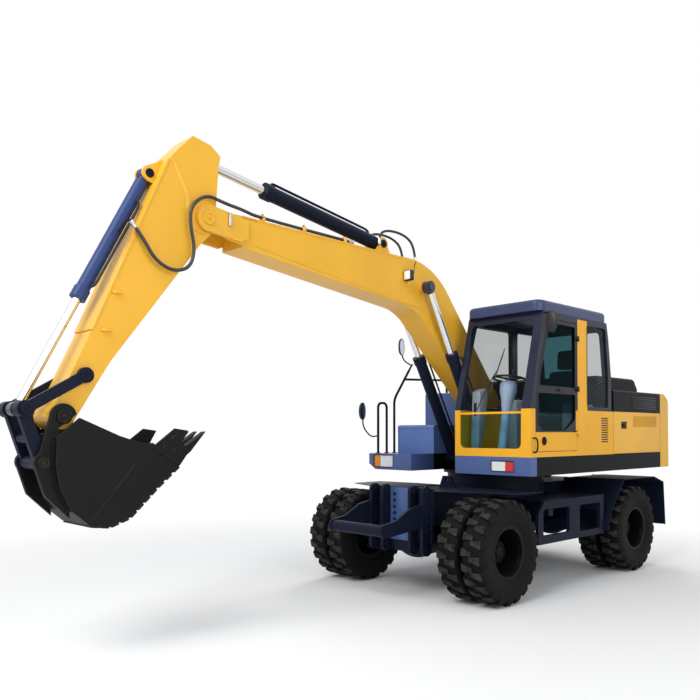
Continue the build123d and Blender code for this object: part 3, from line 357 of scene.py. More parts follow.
# %% Hose rubber
hose_rubber, tree, out = new_material("braided_hose_rubber")
place = add(tree, "ShaderNodeTexCoord")
grain = add(tree, "ShaderNodeTexNoise", {"Vector": place.outputs["Object"], "Scale": 90.0, "Detail": 4.0})
tone = add(tree, "ShaderNodeMix", {0: grain.outputs[0], 6: linear("#121315"), 7: linear("#3a3936")},
           data_type="RGBA")
skin = add(tree, "ShaderNodeBump", {"Height": grain.outputs[0], "Strength": 0.2, "Distance": 0.001})
shader = add(tree, "ShaderNodeBsdfPrincipled", {"Base Color": tone.outputs[2], "Roughness": 0.5,
                                                "IOR": 1.52, "Normal": skin.outputs[0]})
tree.links.new(shader.outputs[0], out.inputs[0])

# %% Bucket steel
bucket_steel, tree, out = new_material("worn_bucket_steel")
place = add(tree, "ShaderNodeTexCoord")
drift = add(tree, "ShaderNodeTexNoise", {"Vector": place.outputs["Object"], "Scale": 5.0, "Detail": 9.0,
                                         "Roughness": 0.62})
tone = add(tree, "ShaderNodeMix", {0: drift.outputs[0], 6: linear("#0a0b0a"), 7: linear("#161815")},
           data_type="RGBA")
# Edges are found by the angle between the true and a rounded normal, 6 mm wide
surface = add(tree, "ShaderNodeNewGeometry")
rounded = add(tree, "ShaderNodeBevel", {"Radius": 0.006}, samples=4)
same = add(tree, "ShaderNodeVectorMath", {0: surface.outputs["Normal"], 1: rounded.outputs[0]},
           operation="DOT_PRODUCT")
edge = add(tree, "ShaderNodeMapRange", {"Value": same.outputs["Value"], "From Min": 0.99,
                                        "From Max": 0.86})
broken = add(tree, "ShaderNodeMath", {0: edge.outputs[0], 1: drift.outputs[0]}, operation="MULTIPLY")
bright = add(tree, "ShaderNodeMix", {0: broken.outputs[0], 6: tone.outputs[2], 7: linear("#5f5e5a")},
             data_type="RGBA")
scratch = add(tree, "ShaderNodeTexNoise", {"Vector": place.outputs["Object"], "Scale": 60.0, "Detail": 6.0})
skin = add(tree, "ShaderNodeBump", {"Height": scratch.outputs[0], "Strength": 0.25, "Distance": 0.002,
                                    "Normal": rounded.outputs[0]})
shader = add(tree, "ShaderNodeBsdfPrincipled", {"Base Color": bright.outputs[2], "Metallic": 0.0,
                                                "Specular IOR Level": 0.14, "Roughness": 0.5,
                                                "Normal": skin.outputs[0]})
tree.links.new(shader.outputs[0], out.inputs[0])
print("steel", bucket_steel.name)

# %% Bolt steel
bolt_steel, tree, out = new_material("zinc_plated_steel")
place = add(tree, "ShaderNodeTexCoord")
stain = add(tree, "ShaderNodeTexNoise", {"Vector": place.outputs["Object"], "Scale": 40.0, "Detail": 4.0})
tone = add(tree, "ShaderNodeMix", {0: stain.outputs[0], 6: linear("#a9a9a4"), 7: linear("#d9d8d2")},
           data_type="RGBA")
shader = add(tree, "ShaderNodeBsdfPrincipled", {"Base Color": tone.outputs[2], "Metallic": 1.0,
                                                "Roughness": 0.34})
tree.links.new(shader.outputs[0], out.inputs[0])

# %% Chromed rods with painted eyes
def chrome_with_eyes(name, eyes, reach):
    """Hard chrome, with the eye at each place given, in millimetres, left in dark enamel."""
    material, tree, out = new_material(name)
    place = add(tree, "ShaderNodeTexCoord")
    nearest = None
    for eye in eyes:
        gap = add(tree, "ShaderNodeVectorMath", {0: place.outputs["Object"], 1: spot(*eye)},
                  operation="DISTANCE")
        nearest = gap if nearest is None else add(
            tree, "ShaderNodeMath", {0: nearest.outputs["Value"], 1: gap.outputs["Value"]},
            operation="MINIMUM")
    painted = add(tree, "ShaderNodeMath", {0: nearest.outputs["Value"], 1: reach * MM},
                  operation="LESS_THAN")
    smear = add(tree, "ShaderNodeTexNoise", {"Vector": place.outputs["Object"], "Scale": 30.0,
                                             "Detail": 4.0})
    shine = add(tree, "ShaderNodeMapRange", {"Value": smear.outputs[0], "To Min": 0.06, "To Max": 0.2})
    chrome = add(tree, "ShaderNodeBsdfPrincipled", {"Base Color": linear("#dfe2e4"), "Metallic": 1.0,
                                                    "Roughness": shine.outputs[0]})
    paint = add(tree, "ShaderNodeBsdfPrincipled", {"Base Color": linear("#232a42"), "Roughness": 0.4,
                                                   "IOR": 1.5, "Coat Weight": 0.3})
    mixed = add(tree, "ShaderNodeMixShader", {0: painted.outputs[0], 1: chrome.outputs[0],
                                              2: paint.outputs[0]})
    tree.links.new(mixed.outputs[0], out.inputs[0])
    return material


boom_chrome = chrome_with_eyes("boom_rod_chrome", [(1410, 100, 3376), (1410, -400, 3376)], 84)
arm_chrome = chrome_with_eyes("arm_rod_chrome", [(4205, -150, 4140)], 78)
bucket_chrome = chrome_with_eyes("bucket_rod_chrome", [(5805, -150, 1910)], 74)
print("rods", boom_chrome.name, arm_chrome.name, bucket_chrome.name)

# %% Tinted glass
belt_height = 1.954


def safety_glass(name, above, below):
    """Laminated glass, tinted one way above the belt of the cab and another way below it."""
    material, tree, out = new_material(name)
    place = add(tree, "ShaderNodeTexCoord")
    axes = add(tree, "ShaderNodeSeparateXYZ", {0: place.outputs["Object"]})
    high = add(tree, "ShaderNodeMath", {0: axes.outputs["Z"], 1: belt_height}, operation="GREATER_THAN")
    tint = add(tree, "ShaderNodeMix", {0: high.outputs[0], 6: linear(below), 7: linear(above)},
               data_type="RGBA")
    film = add(tree, "ShaderNodeBsdfTransparent", {"Color": tint.outputs[2]})
    film_dust = add(tree, "ShaderNodeTexNoise", {"Vector": place.outputs["Object"], "Scale": 7.0,
                                                 "Detail": 6.0})
    haze = add(tree, "ShaderNodeMapRange", {"Value": film_dust.outputs[0], "To Min": 0.02, "To Max": 0.09})
    mirror = add(tree, "ShaderNodeBsdfPrincipled", {"Base Color": linear("#10262a"),
                                                    "Roughness": haze.outputs[0], "IOR": 1.5})
    lean = add(tree, "ShaderNodeFresnel", {"IOR": 1.3})
    share = add(tree, "ShaderNodeMapRange", {"Value": lean.outputs[0], "To Min": 0.015, "To Max": 0.5})
    mixed = add(tree, "ShaderNodeMixShader", {0: share.outputs[0], 1: film.outputs[0],
                                              2: mirror.outputs[0]})
    tree.links.new(mixed.outputs[0], out.inputs[0])
    return material


glass = safety_glass("clear_safety_glass", "#fdfefe", "#d9eef2")
door_tint = safety_glass("tinted_door_glass", "#86aeb3", "#d3eaee")
print("panes", glass.name, door_tint.name)

# %% Moulded trim plastics
def trim_plastic(name, grain_scale, depth, drift_scale, tones, rough):
    """Moulded ABS: a soft sheen, a leather-like grain 2 to 3 mm across and a slight drift of tone."""
    material, tree, out = new_material(name)
    place = add(tree, "ShaderNodeTexCoord")
    grain = add(tree, "ShaderNodeTexNoise", {"Vector": place.outputs["Object"], "Scale": grain_scale,
                                             "Detail": 2.0})
    skin = add(tree, "ShaderNodeBump", {"Height": grain.outputs[0], "Strength": depth, "Distance": 0.001})
    drift = add(tree, "ShaderNodeTexNoise", {"Vector": place.outputs["Object"], "Scale": drift_scale})
    tone = add(tree, "ShaderNodeMix", {0: drift.outputs[0], 6: linear(tones[0]), 7: linear(tones[1])},
               data_type="RGBA")
    shader = add(tree, "ShaderNodeBsdfPrincipled", {"Base Color": tone.outputs[2], "Roughness": rough,
                                                    "IOR": 1.46, "Normal": skin.outputs[0]})
    tree.links.new(shader.outputs[0], out.inputs[0])
    return material


plastic = trim_plastic("moulded_trim_plastic", 420.0, 0.2, 3.0, ("#7d8894", "#a3aeb8"), 0.55)
pale_plastic = trim_plastic("pale_blue_moulded_plastic", 300.0, 0.15, 4.0, ("#9fb2d6", "#b9c7e0"), 0.5)

# %% Black plastic
dark_plastic, tree, out = new_material("black_moulded_plastic")
place = add(tree, "ShaderNodeTexCoord")
grain = add(tree, "ShaderNodeTexNoise", {"Vector": place.outputs["Object"], "Scale": 380.0, "Detail": 2.0})
skin = add(tree, "ShaderNodeBump", {"Height": grain.outputs[0], "Strength": 0.2, "Distance": 0.001})
tone = add(tree, "ShaderNodeMix", {0: grain.outputs[0], 6: linear("#0f1012"), 7: linear("#1d1e20")},
           data_type="RGBA")
shader = add(tree, "ShaderNodeBsdfPrincipled", {"Base Color": tone.outputs[2], "Roughness": 0.42,
                                                "IOR": 1.46, "Normal": skin.outputs[0]})
tree.links.new(shader.outputs[0], out.inputs[0])
print("plastics", plastic.name, pale_plastic.name, dark_plastic.name)

# %% Lamp lenses
# The right lamp is amber outside of one place across the machine, and the left lamp is red outside of
# the other. The moulded ribs are about 5 mm apart.
amber_edge, red_edge = -1.005, 0.865
lenses, tree, out = new_material("ribbed_lamp_lenses")
place = add(tree, "ShaderNodeTexCoord")
axes = add(tree, "ShaderNodeSeparateXYZ", {0: place.outputs["Object"]})
amber = add(tree, "ShaderNodeMath", {0: axes.outputs["Y"], 1: amber_edge},
            operation="LESS_THAN")
red = add(tree, "ShaderNodeMath", {0: axes.outputs["Y"], 1: red_edge},
          operation="GREATER_THAN")
first = add(tree, "ShaderNodeMix", {0: amber.outputs[0], 6: linear("#e8ebee"), 7: linear("#f08a1e")},
            data_type="RGBA")
second = add(tree, "ShaderNodeMix", {0: red.outputs[0], 6: first.outputs[2], 7: linear("#d4231c")},
             data_type="RGBA")
ribs = add(tree, "ShaderNodeTexWave", {"Vector": place.outputs["Object"], "Scale": 60.0},
           bands_direction="Y")
skin = add(tree, "ShaderNodeBump", {"Height": ribs.outputs[1], "Strength": 0.4, "Distance": 0.002})
shader = add(tree, "ShaderNodeBsdfPrincipled", {"Base Color": second.outputs[2], "Roughness": 0.16,
                                                "IOR": 1.49, "Coat Weight": 0.6, "Normal": skin.outputs[0]})
tree.links.new(shader.outputs[0], out.inputs[0])
print("lenses", lenses.name)

# %% [markdown]
# ## Finishes for the CAD nodes
#
# Each node keeps its exact mesh and gets a finish by name. The CAD meshes are loose triangles, so
# curved faces are shaded smooth by the normals that came with them.

# %% Assign finishes
finish = {
    yellow: ["counterweight", "side_door_left", "side_door_right", "boom", "arm"],
    blue: ["front_platforms", "fuel_tank"],
    pale_blue: ["toolbox", "toolbox_lid"],
    deep_blue: ["bucket_barrel"],
    navy: ["chassis_frame", "turret", "cross_beams", "front_step", "slewing_ring", "chassis_guards",
           "rear_guards", "axle_front", "axle_rear", "driveline", "knuckle_left", "knuckle_right",
           "tie_rod", "guide_links", "bucket_link", "boom_barrels", "arm_barrel"],
    black: ["swing_deck", "engine_hood", "engine_band", "handrails", "boom_lamp", "engine_block"],
    cab_paint: ["cab_shell"],
    door_paint: ["cab_door"],
    boom_chrome: ["boom_rods"],
    arm_chrome: ["arm_rod"],
    bucket_chrome: ["bucket_rod"],
    glass: ["cab_glass"],
    door_tint: ["door_glass"],
    hose_rubber: ["arm_hose", "cylinder_hoses"],
    plastic: ["cab_interior"],
    lenses: ["lamps"],
    bucket_steel: ["bucket"],
    roof_paint: ["cab_roof"],
    rim_paint: [name for name in nodes if name.startswith("rims_")],
}
for material, names in finish.items():
    for name in names:
        if name in nodes:
            nodes[name].data.materials.clear()
            nodes[name].data.materials.append(material)
left_over = [n for n in nodes if not any(n in names for names in finish.values())]
print("nodes still to dress", left_over)

# %% [markdown]
# ## Modelling helpers
#
# Three ways of shaping cover most small parts. A turned part starts as a ring, which is pulled along
# and resized station by station, as on a lathe. A cut plate starts as a flat polygon whose corners
# are moved to the outline and which is then pulled to its thickness. A bent bar is a curve with a
# round bevel. What repeats is made once and copied.


# %% Turned parts
def turned(name, stations, segments=32):
    """A turned part about +Y at the origin, from stations of (place along Y, radius) in millimetres."""
    clear()
    y, radius = stations[0]
    bpy.ops.mesh.primitive_circle_add(vertices=segments, radius=radius * MM, location=(0, y * MM, 0),
                                      rotation=(math.pi / 2, 0, 0))
    part = bpy.context.object
    part.name = name
    bpy.ops.object.transform_apply(location=True, rotation=True, scale=True)
    bpy.ops.object.mode_set(mode="EDIT")
    bpy.ops.mesh.select_all(action="SELECT")
    for next_y, next_radius in stations[1:]:
        bpy.ops.mesh.extrude_edges_move(TRANSFORM_OT_translate={"value": (0, (next_y - y) * MM, 0)})
        factor = next_radius / radius
        bpy.ops.transform.resize(value=(factor, 1, factor), center_override=(0, next_y * MM, 0))
        y, radius = next_y, next_radius
    bpy.ops.mesh.select_all(action="SELECT")
    bpy.ops.mesh.remove_doubles(threshold=0.0001)
    bpy.ops.mesh.normals_make_consistent(inside=False)
    clear()
    return part


def smooth(part, degrees=35):
    """Shades a part smooth except over edges sharper than the angle given."""
    clear()
    part.select_set(True)
    bpy.context.view_layer.objects.active = part
    bpy.ops.object.shade_smooth_by_angle(angle=math.radians(degrees))
    return part


def cut_plate(name, outline, thickness):
    """A plate in the XZ plane from an outline of (x, z) in millimetres, pulled along +Y."""
    clear()
    bpy.ops.mesh.primitive_circle_add(vertices=len(outline), radius=1, fill_type="NGON")
    part = bpy.context.object
    part.name = name
    for vertex, (x, z) in zip(part.data.vertices, outline):
        vertex.co = (x * MM, 0, z * MM)
    bpy.ops.object.mode_set(mode="EDIT")
    bpy.ops.mesh.select_all(action="SELECT")
    bpy.ops.mesh.extrude_region_move(TRANSFORM_OT_translate={"value": (0, thickness * MM, 0)})
    bpy.ops.mesh.select_all(action="SELECT")
    bpy.ops.mesh.normals_make_consistent(inside=False)
    clear()
    return part


def bevelled(part, width, segments=2):
    """Rounds a part's edges by a width in millimetres."""
    clear()
    part.select_set(True)
    bpy.context.view_layer.objects.active = part
    modifier = part.modifiers.new("rounding", "BEVEL")
    modifier.width = width * MM
    modifier.segments = segments
    modifier.limit_method = "ANGLE"
    bpy.ops.object.modifier_apply(modifier=modifier.name)
    return part


def copy_of(part, matrix):
    """A copy with its own mesh, moved by the matrix."""
    twin = part.copy()
    twin.data = part.data.copy()
    twin.data.transform(matrix)
    bpy.context.scene.collection.objects.link(twin)
    return twin


def joined(parts, name):
    """Several parts as one mesh, with its materials kept."""
    clear()
    for part in parts:
        part.select_set(True)
    bpy.context.view_layer.objects.active = parts[0]
    bpy.ops.object.join()
    whole = bpy.context.object
    whole.name = name
    clear()
    return whole


def facing(direction, place):
    """The matrix that turns +Y to a direction and moves the origin to a place."""
    turn = Vector((0, 1, 0)).rotation_difference(Vector(direction))
    return Matrix.Translation(place) @ turn.to_matrix().to_4x4()


print("helpers ready")

# %% [markdown]
# ## Tyres
#
# The machine runs on twin cross-ply traction tyres. Each has a smooth bulged side wall with a rim
# guard, and two rows of heavy lugs, set half a pitch apart, that run from the crown out over the
# shoulder. The carcass is turned. One lug is a cut plate, narrowed towards the crown, and is copied
# round the tyre, which keeps every lug square to the road. All of it rides on the wheel.

# %% One lug
lug_count = 21
lug_outline = [(-14, 498), (-14, 520), (6, 528), (94, 529), (110, 521), (125, 486), (129, 452),
               (121, 444), (112, 468), (100, 496)]
lug = cut_plate("lug", lug_outline, 92)
lug.data.transform(Matrix.Translation((0, -46 * MM, 0)))
for vertex in lug.data.vertices:
    across = vertex.co.x / MM
    height = vertex.co.z / MM
    narrow = 0.52 + 0.48 * min(max((across + 14) / 90, 0), 1)
    draft = 1.0 if height < 505 else 0.86
    lean = 16 * (1 - min(max((across + 14) / 110, 0), 1))
    vertex.co.y = vertex.co.y * narrow * draft + lean * MM
bevelled(lug, 4, 1)
lug.data.transform(Matrix.Rotation(math.pi / 2, 4, "Z"))
lug.data.materials.append(rubber)
lug.data.materials.append(tread_rubber)
for face in lug.data.polygons:
    reach = math.hypot(face.center.x, face.center.z)
    face.material_index = 1 if face.normal.z > 0.55 else 0
print("lug faces", len(lug.data.polygons), [round(v, 3) for v in lug.dimensions])

# %% One tyre
half_wall = [(85, 258), (96, 262), (101, 282), (99, 292), (108, 312), (118, 350), (127, 392), (129, 425),
             (125, 460), (113, 488), (96, 500), (50, 504)]
stations = [(-y, r) for y, r in half_wall] + [(0, 505)] + [(y, r) for y, r in reversed(half_wall)]
stations.append((-85, 258))
tyre = turned("tyre", stations, segments=84)
tyre.data.materials.append(rubber)
tyre.data.materials.append(tread_rubber)
parts = [tyre]
for row in (1, -1):
    for number in range(lug_count):
        angle = 2 * math.pi * (number + (0.25 if row > 0 else -0.25)) / lug_count
        turn = Matrix.Rotation(angle, 4, "Y")
        if row < 0:
            turn = turn @ Matrix.Rotation(math.pi, 4, "Z")
        parts.append(copy_of(lug, turn))
tyre = joined(parts, "tyre")
smooth(tyre, 30)
bpy.data.objects.remove(lug)
print("tyre faces", len(tyre.data.polygons))

# %% Eight tyres on four wheels
spacing = 300
for end in ("front", "rear"):
    for hand, sign in (("left", 1), ("right", -1)):
        centre = Vector(joint[f"wheel_{end}_{hand}_spin"]["pos_m"])
        pair = []
        for place, start in ((spacing / 2, 0.0), (-spacing / 2, 0.11)):
            at = Matrix.Translation(centre + Vector((0, place * MM, 0)))
            pair.append(copy_of(tyre, at @ Matrix.Rotation(start + sign * 0.05, 4, "Y")))
        whole = joined(pair, f"treaded_tyres_{end}_{hand}")
        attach(whole, f"wheel_{end}_{hand}")
        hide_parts(f"tyres_{end}_{hand}")
bpy.data.objects.remove(tyre)
print("tyres ready")

# %% [markdown]
# ## Small parts and how they ride
#
# Bolts, pins and caps are turned parts: a hexagon is a turned part with six sides, and a pin cap is a
# disc with a raised middle. Bars and pipes are curves with a round bevel, bent at each corner by two
# close handles. Each piece gets its finish, a smooth shading and the body it moves with in one call.


def fitted(part, material, body, degrees=35):
    """Gives a part its finish and its shading, and lets it ride a body."""
    part.data.materials.clear()
    part.data.materials.append(material)
    smooth(part, degrees)
    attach(part, body)
    return part


def placed(part, direction, places):
    """Copies of a part turned from +Y to a direction, at several places in millimetres, as one."""
    copies = [copy_of(part, facing(direction, spot(*p))) for p in places]
    name = part.name
    bpy.data.objects.remove(part)
    return joined(copies, name)


def hex_bolt(name, across=24, head=11):
    """A hexagon bolt head on its washer, standing on the origin and looking along +Y."""
    washer = turned(name, [(0, 0.05), (0, across * 0.62), (2.5, across * 0.62), (2.5, across * 0.5)], 20)
    top = turned("head", [(2.5, across * 0.56), (head, across * 0.56), (head + 2, across * 0.44),
                          (head + 2, 0.05)], 6)
    return joined([washer, top], name)


def bent_bar(name, points, radius, bend=60):
    """A round bar or pipe through points in millimetres, each corner bent over a length."""
    curve = bpy.data.curves.new(name, "CURVE")
    curve.dimensions = "3D"
    curve.bevel_depth = radius * MM
    curve.bevel_resolution = 3
    curve.use_fill_caps = True
    curve.resolution_u = 5
    places = [spot(*point) for point in points]
    knots = [(places[0], places[1])]
    for before, corner, after in zip(places, places[1:], places[2:]):
        for end in (before, after):
            reach = min(bend * MM, (end - corner).length * 0.45)
            knots.append((corner + (end - corner).normalized() * reach, corner))
    knots.append((places[-1], places[-2]))
    spline = curve.splines.new("BEZIER")
    spline.bezier_points.add(len(knots) - 1)
    for number, (knot, (place, towards)) in enumerate(zip(spline.bezier_points, knots)):
        knot.co = place
        inward = place + (towards - place) * 0.55
        outward = place - (towards - place) * 0.3
        knot.handle_left_type = knot.handle_right_type = "FREE"
        arriving = number % 2 == 1
        knot.handle_right = inward if arriving or number == 0 else outward
        knot.handle_left = outward if arriving or number == 0 else inward
    bar = bpy.data.objects.new(name, curve)
    bpy.context.scene.collection.objects.link(bar)
    clear()
    bar.select_set(True)
    bpy.context.view_layer.objects.active = bar
    bpy.ops.object.convert(target="MESH")
    return bpy.context.object


def block_of(name, low, high, round_off=6, segments=3):
    """A block between two places in millimetres, with rounded edges."""
    clear()
    lo, hi = spot(*low), spot(*high)
    bpy.ops.mesh.primitive_cube_add(size=1, location=(lo + hi) / 2)
    part = bpy.context.object
    part.name = name
    part.scale = hi - lo
    bpy.ops.object.transform_apply(location=True, rotation=True, scale=True)
    return bevelled(part, round_off, segments)


print("small part helpers ready")

# %% [markdown]
# ## Hoses
#
# A hydraulic hose is braided rubber: stiff, always in one easy curve, and crimped at each end into a
# bright ferrule. The long one runs in clips along the boom, hangs in a loop beside the boom's end and
# reaches the arm. Its line is a smooth spline whose control points are the route's own corners, and a
# tube is swept along the points read from that line.


# %% Hose line and tube
def hose_line(name, route, radius):
    """A round tube along a smooth line through a route in millimetres, with the line's own points."""
    curve = bpy.data.curves.new(name, "CURVE")
    curve.dimensions = "3D"
    spline = curve.splines.new("NURBS")
    spline.points.add(len(route) - 1)
    for point, place in zip(spline.points, route):
        point.co = (*spot(*place), 1)
    spline.order_u = 3
    spline.use_endpoint_u = True
    spline.resolution_u = 12
    tube = bpy.data.objects.new(name, curve)
    bpy.context.scene.collection.objects.link(tube)
    bpy.context.view_layer.update()
    line = bpy.data.meshes.new_from_object(tube)
    followed = [vertex.co.copy() for vertex in line.vertices]
    curve.bevel_depth = radius * MM
    curve.bevel_resolution = 3
    curve.use_fill_caps = True
    clear()
    tube.select_set(True)
    bpy.context.view_layer.objects.active = tube
    bpy.ops.object.convert(target="MESH")
    return bpy.context.object, followed


def ferrule(name, place, direction, radius):
    """A crimped ferrule with its nut, from a place in metres along a direction."""
    part = turned(name, [(0, 0.05), (0, radius * 1.5), (18, radius * 1.5), (19, radius * 1.25),
                         (24, radius * 1.25), (25, radius * 1.22), (62, radius * 1.22), (66, radius),
                         (66, 0.05)], 16)
    part.data.transform(facing(direction, place))
    return part


arm_route = [(2480, -20, 3712.4), (3700, -20, 3721.5), (3900, 26, 3740), (4120, 36, 3757),
             (4300, 44, 3790), (4460, 52, 3660), (4465, 54, 3480), (4418, 56, 3290),
             (4470, 56, 3120), (4640, 56, 3070), (4800, 50, 3150), (4890, 42, 3300), (4990, 22, 3425)]
arm_hose, arm_line = hose_line("braided_arm_hose", arm_route, 15)

# %% The arm's hose, with its ferrules and its elbow
arm_hose.data.materials.clear()
arm_hose.data.materials.append(hose_rubber)
smooth(arm_hose, 60)
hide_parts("arm_hose")
hose_end, before_end = arm_line[-1], arm_line[-4]
overlap = (hose_end - before_end).normalized() * 4 * MM
far_ferrule = ferrule("arm_hose_far_ferrule", hose_end + overlap, before_end - hose_end, 15)
fitted(far_ferrule, bolt_steel, "arm")
elbow = bent_bar("arm_hose_elbow", [(4962, 29, 3392), (5000, 18, 3440), (5030, -8, 3420), (5080, -12, 3330)],
                 11, 30)
fitted(elbow, navy, "arm")
near_ferrule = ferrule("arm_hose_near_ferrule", arm_line[0], arm_line[1] - arm_line[0], 15)
fitted(near_ferrule, bolt_steel, "boom")
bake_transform(arm_hose)
print("arm hose fitted")

# %% The arm cylinder's two hoses
cylinder_line_lengths = []
for number, y in enumerate((-57, -243), start=1):
    route = [(2045, y, 3780), (2050, y, 3895), (1900, y, 3960), (1640, y, 3955), (1470, y, 3860),
             (1452, y, 3669.6)]
    tube, line = hose_line(f"cylinder_hose_{number}", route, 14)
    fitted(tube, hose_rubber, "boom", 60)
    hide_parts("cylinder_hoses")
    length = sum((b - a).length for a, b in zip(line, line[1:]))
    cylinder_line_lengths.append(round(length, 3))
    for end, (place, towards) in enumerate(((line[0], line[1]), (line[-1], line[-2])), start=1):
        fitted(ferrule(f"cylinder_hose_{number}_ferrule_{end}", place, towards - place, 14), bolt_steel,
               "boom")
print("cylinder hoses", cylinder_line_lengths, "m")

# %% [markdown]
# ## Handrails and mirrors
#
# The rails are bent tube, and the mirrors are deep oval shells of black plastic on thin arms, each with
# a silvered glass turned to the driver. The rails are drawn again as curves, because the round
# shells could not be put over the plain plates of the solid model.

# %% Rails
rail_y, deck_top, tank_top = -1118, 1475, 2272
rail_lines = [
    ([(655, rail_y, deck_top), (655, rail_y, 2175), (310, rail_y, 2640)], 16),
    ([(452, rail_y, 2446), (-440, rail_y, 2478), (-440, rail_y, tank_top)], 16),
    ([(960, rail_y, deck_top), (960, rail_y, 2120), (800, rail_y, 2120), (800, rail_y, deck_top)], 16),
    ([(960, rail_y, 1700), (1040, -1170, 1680), (1130, -1225, 1810), (1130, -1225, 2010)], 9),
    ([(310, rail_y, 2640), (400, -1180, 2700), (430, -1190, 2800)], 9),
    ([(772, 1185.3, 3030), (772, 1262, 3030)], 9),
    ([(1000, 1185, 1680), (1000, 1240, 1680), (1000, 1240, 1530), (1000, 1185, 1530)], 9),
]
rails = joined([bent_bar("rail", line, radius) for line, radius in rail_lines], "tube_handrails")
fitted(rails, black, "upper")
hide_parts("handrails")
feet = placed(turned("rail_feet", [(0, 0.05), (0, 34), (8, 34), (8, 16)], 20), (0, 0, 1),
              [(655, rail_y, deck_top), (960, rail_y, deck_top), (800, rail_y, deck_top),
               (-440, rail_y, tank_top)])
fitted(feet, black, "upper")
print("rails", len(rails.data.polygons), "faces")

# %% Mirror shells
silvered, tree, out = new_material("silvered_mirror_glass")
place = add(tree, "ShaderNodeTexCoord")
specks = add(tree, "ShaderNodeTexNoise", {"Vector": place.outputs["Object"], "Scale": 30.0, "Detail": 5.0})
haze = add(tree, "ShaderNodeMapRange", {"Value": specks.outputs[0], "To Min": 0.04, "To Max": 0.2})
shader = add(tree, "ShaderNodeBsdfPrincipled", {"Base Color": linear("#b9c2d2"), "Metallic": 1.0,
                                                "Roughness": haze.outputs[0]})
tree.links.new(shader.outputs[0], out.inputs[0])


def mirror(name, place, wide, high, looks):
    """An oval mirror shell with its glass, from the place of its middle in millimetres."""
    shell = turned(name + "_shell", [(14, 0.05), (14, 90), (18, 97), (18, 100), (6, 102), (-10, 92),
                                     (-20, 60), (-20, 0.05)], 40)
    pane = turned(name + "_pane", [(14.5, 0.05), (14.5, 91), (15.5, 91), (16.0, 0.05)], 40)
    for part, finish_of in ((shell, dark_plastic), (pane, silvered)):
        part.data.transform(Matrix.Diagonal((wide / 204, 1, high / 204, 1)))
        part.data.transform(facing(looks, spot(*place)))
        fitted(part, finish_of, "upper")


mirror("lower_right_mirror", (1148, -1225, 2010), 150, 225, (-0.3, 0.95, 0))
mirror("upper_right_mirror", (440, -1190, 2885), 150, 230, (-0.3, 0.95, 0))
mirror("left_mirror", (795, 1282, 2922), 140, 245, (-1, 0, 0))
print("mirrors ready")

# %% [markdown]
# ## Boom fittings
#
# The work lamp is a rounded black housing with a bright lens behind a rim, on a bent bracket. Pins are
# held by round caps with one bolt, thicker plates are welded round the pivots, and steel pipes run in
# yellow clips.

# %% Work lamp
housing = block_of("work_lamp_housing", (1668, 12, 3412), (1730, 118, 3528), 16, 4)
fitted(housing, dark_plastic, "boom")
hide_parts("boom_lamp")
lens = block_of("work_lamp_lens", (1729, 24, 3424), (1735, 106, 3516), 2.5, 2)
lens_glass, tree, out = new_material("pale_lamp_lens")
place = add(tree, "ShaderNodeTexCoord")
flutes = add(tree, "ShaderNodeTexWave", {"Vector": place.outputs["Object"], "Scale": 55.0},
             bands_direction="Y")
skin = add(tree, "ShaderNodeBump", {"Height": flutes.outputs[1], "Strength": 0.3, "Distance": 0.002})
shader = add(tree, "ShaderNodeBsdfPrincipled", {"Base Color": linear("#f2f3f1"), "Roughness": 0.15,
                                                "IOR": 1.49, "Coat Weight": 0.7,
                                                "Normal": skin.outputs[0]})
tree.links.new(shader.outputs[0], out.inputs[0])
fitted(lens, lens_glass, "boom")
bracket = bent_bar("work_lamp_bracket", [(1690, 5.5, 3375), (1690, 62, 3375), (1690, 62, 3420)], 9, 18)
fitted(bracket, yellow, "boom")
tail_wire = bent_bar("work_lamp_wire", [(1668, 60, 3470), (1610, 66, 3500), (1560, 20, 3590),
                                        (1520, 8, 3660)], 3.5, 60)
fitted(tail_wire, hose_rubber, "boom")
print("work lamp ready")


# %% Pin caps
def pin_cap(name, radius):
    """A round pin cap with a raised rim and a bolt in its middle."""
    cap = turned(name, [(0, 0.05), (0, radius), (7, radius), (10, radius - 4), (10, radius * 0.62),
                        (6, radius * 0.58), (6, 0.05)], 40)
    bolt = hex_bolt("bolt", radius * 0.42, 8)
    bolt.data.transform(Matrix.Translation((0, 6 * MM, 0)))
    return joined([cap, bolt], name)


boom_mid_y = -150
cap_places = [
    # name, radius, place of the left cap, body, finish
    ("boom_tip_cap", 62, (4266, 36.4, 3596), "boom", yellow),
    ("boom_foot_cap", 60, (-50, 46.4, 1950), "upper", navy),
    ("arm_cylinder_foot_cap", 44, (1960, -73.8, 3800), "boom", navy),
    ("bucket_cylinder_foot_cap", 38, (4772, -78.8, 3890), "arm", navy),
    ("guide_pin_cap", 46, (5356, 45.4, 2174), "arm", navy),
    ("bucket_pin_cap", 56, (5525, 48.4, 1857), "bucket", bucket_steel),
    ("link_pin_cap", 46, (5670, 48.4, 1517), "bucket", bucket_steel),
    ("cross_pin_cap", 44, (5805, 59.4, 1910), "guide_links", navy),
    ("boom_cylinder_foot_cap", 46, (300, 176.4, 1420), "upper", navy),
]
for name, radius, place, body, finish_of in cap_places:
    for hand, suffix in ((1, "left"), (-1, "right")):
        x, y, z = place
        at = (x, y if hand > 0 else 2 * boom_mid_y - y, z)
        cap = placed(pin_cap(f"{name}_{suffix}", radius), (0, hand, 0), [at])
        fitted(cap, finish_of, body)
print("pin caps", 2 * len(cap_places))

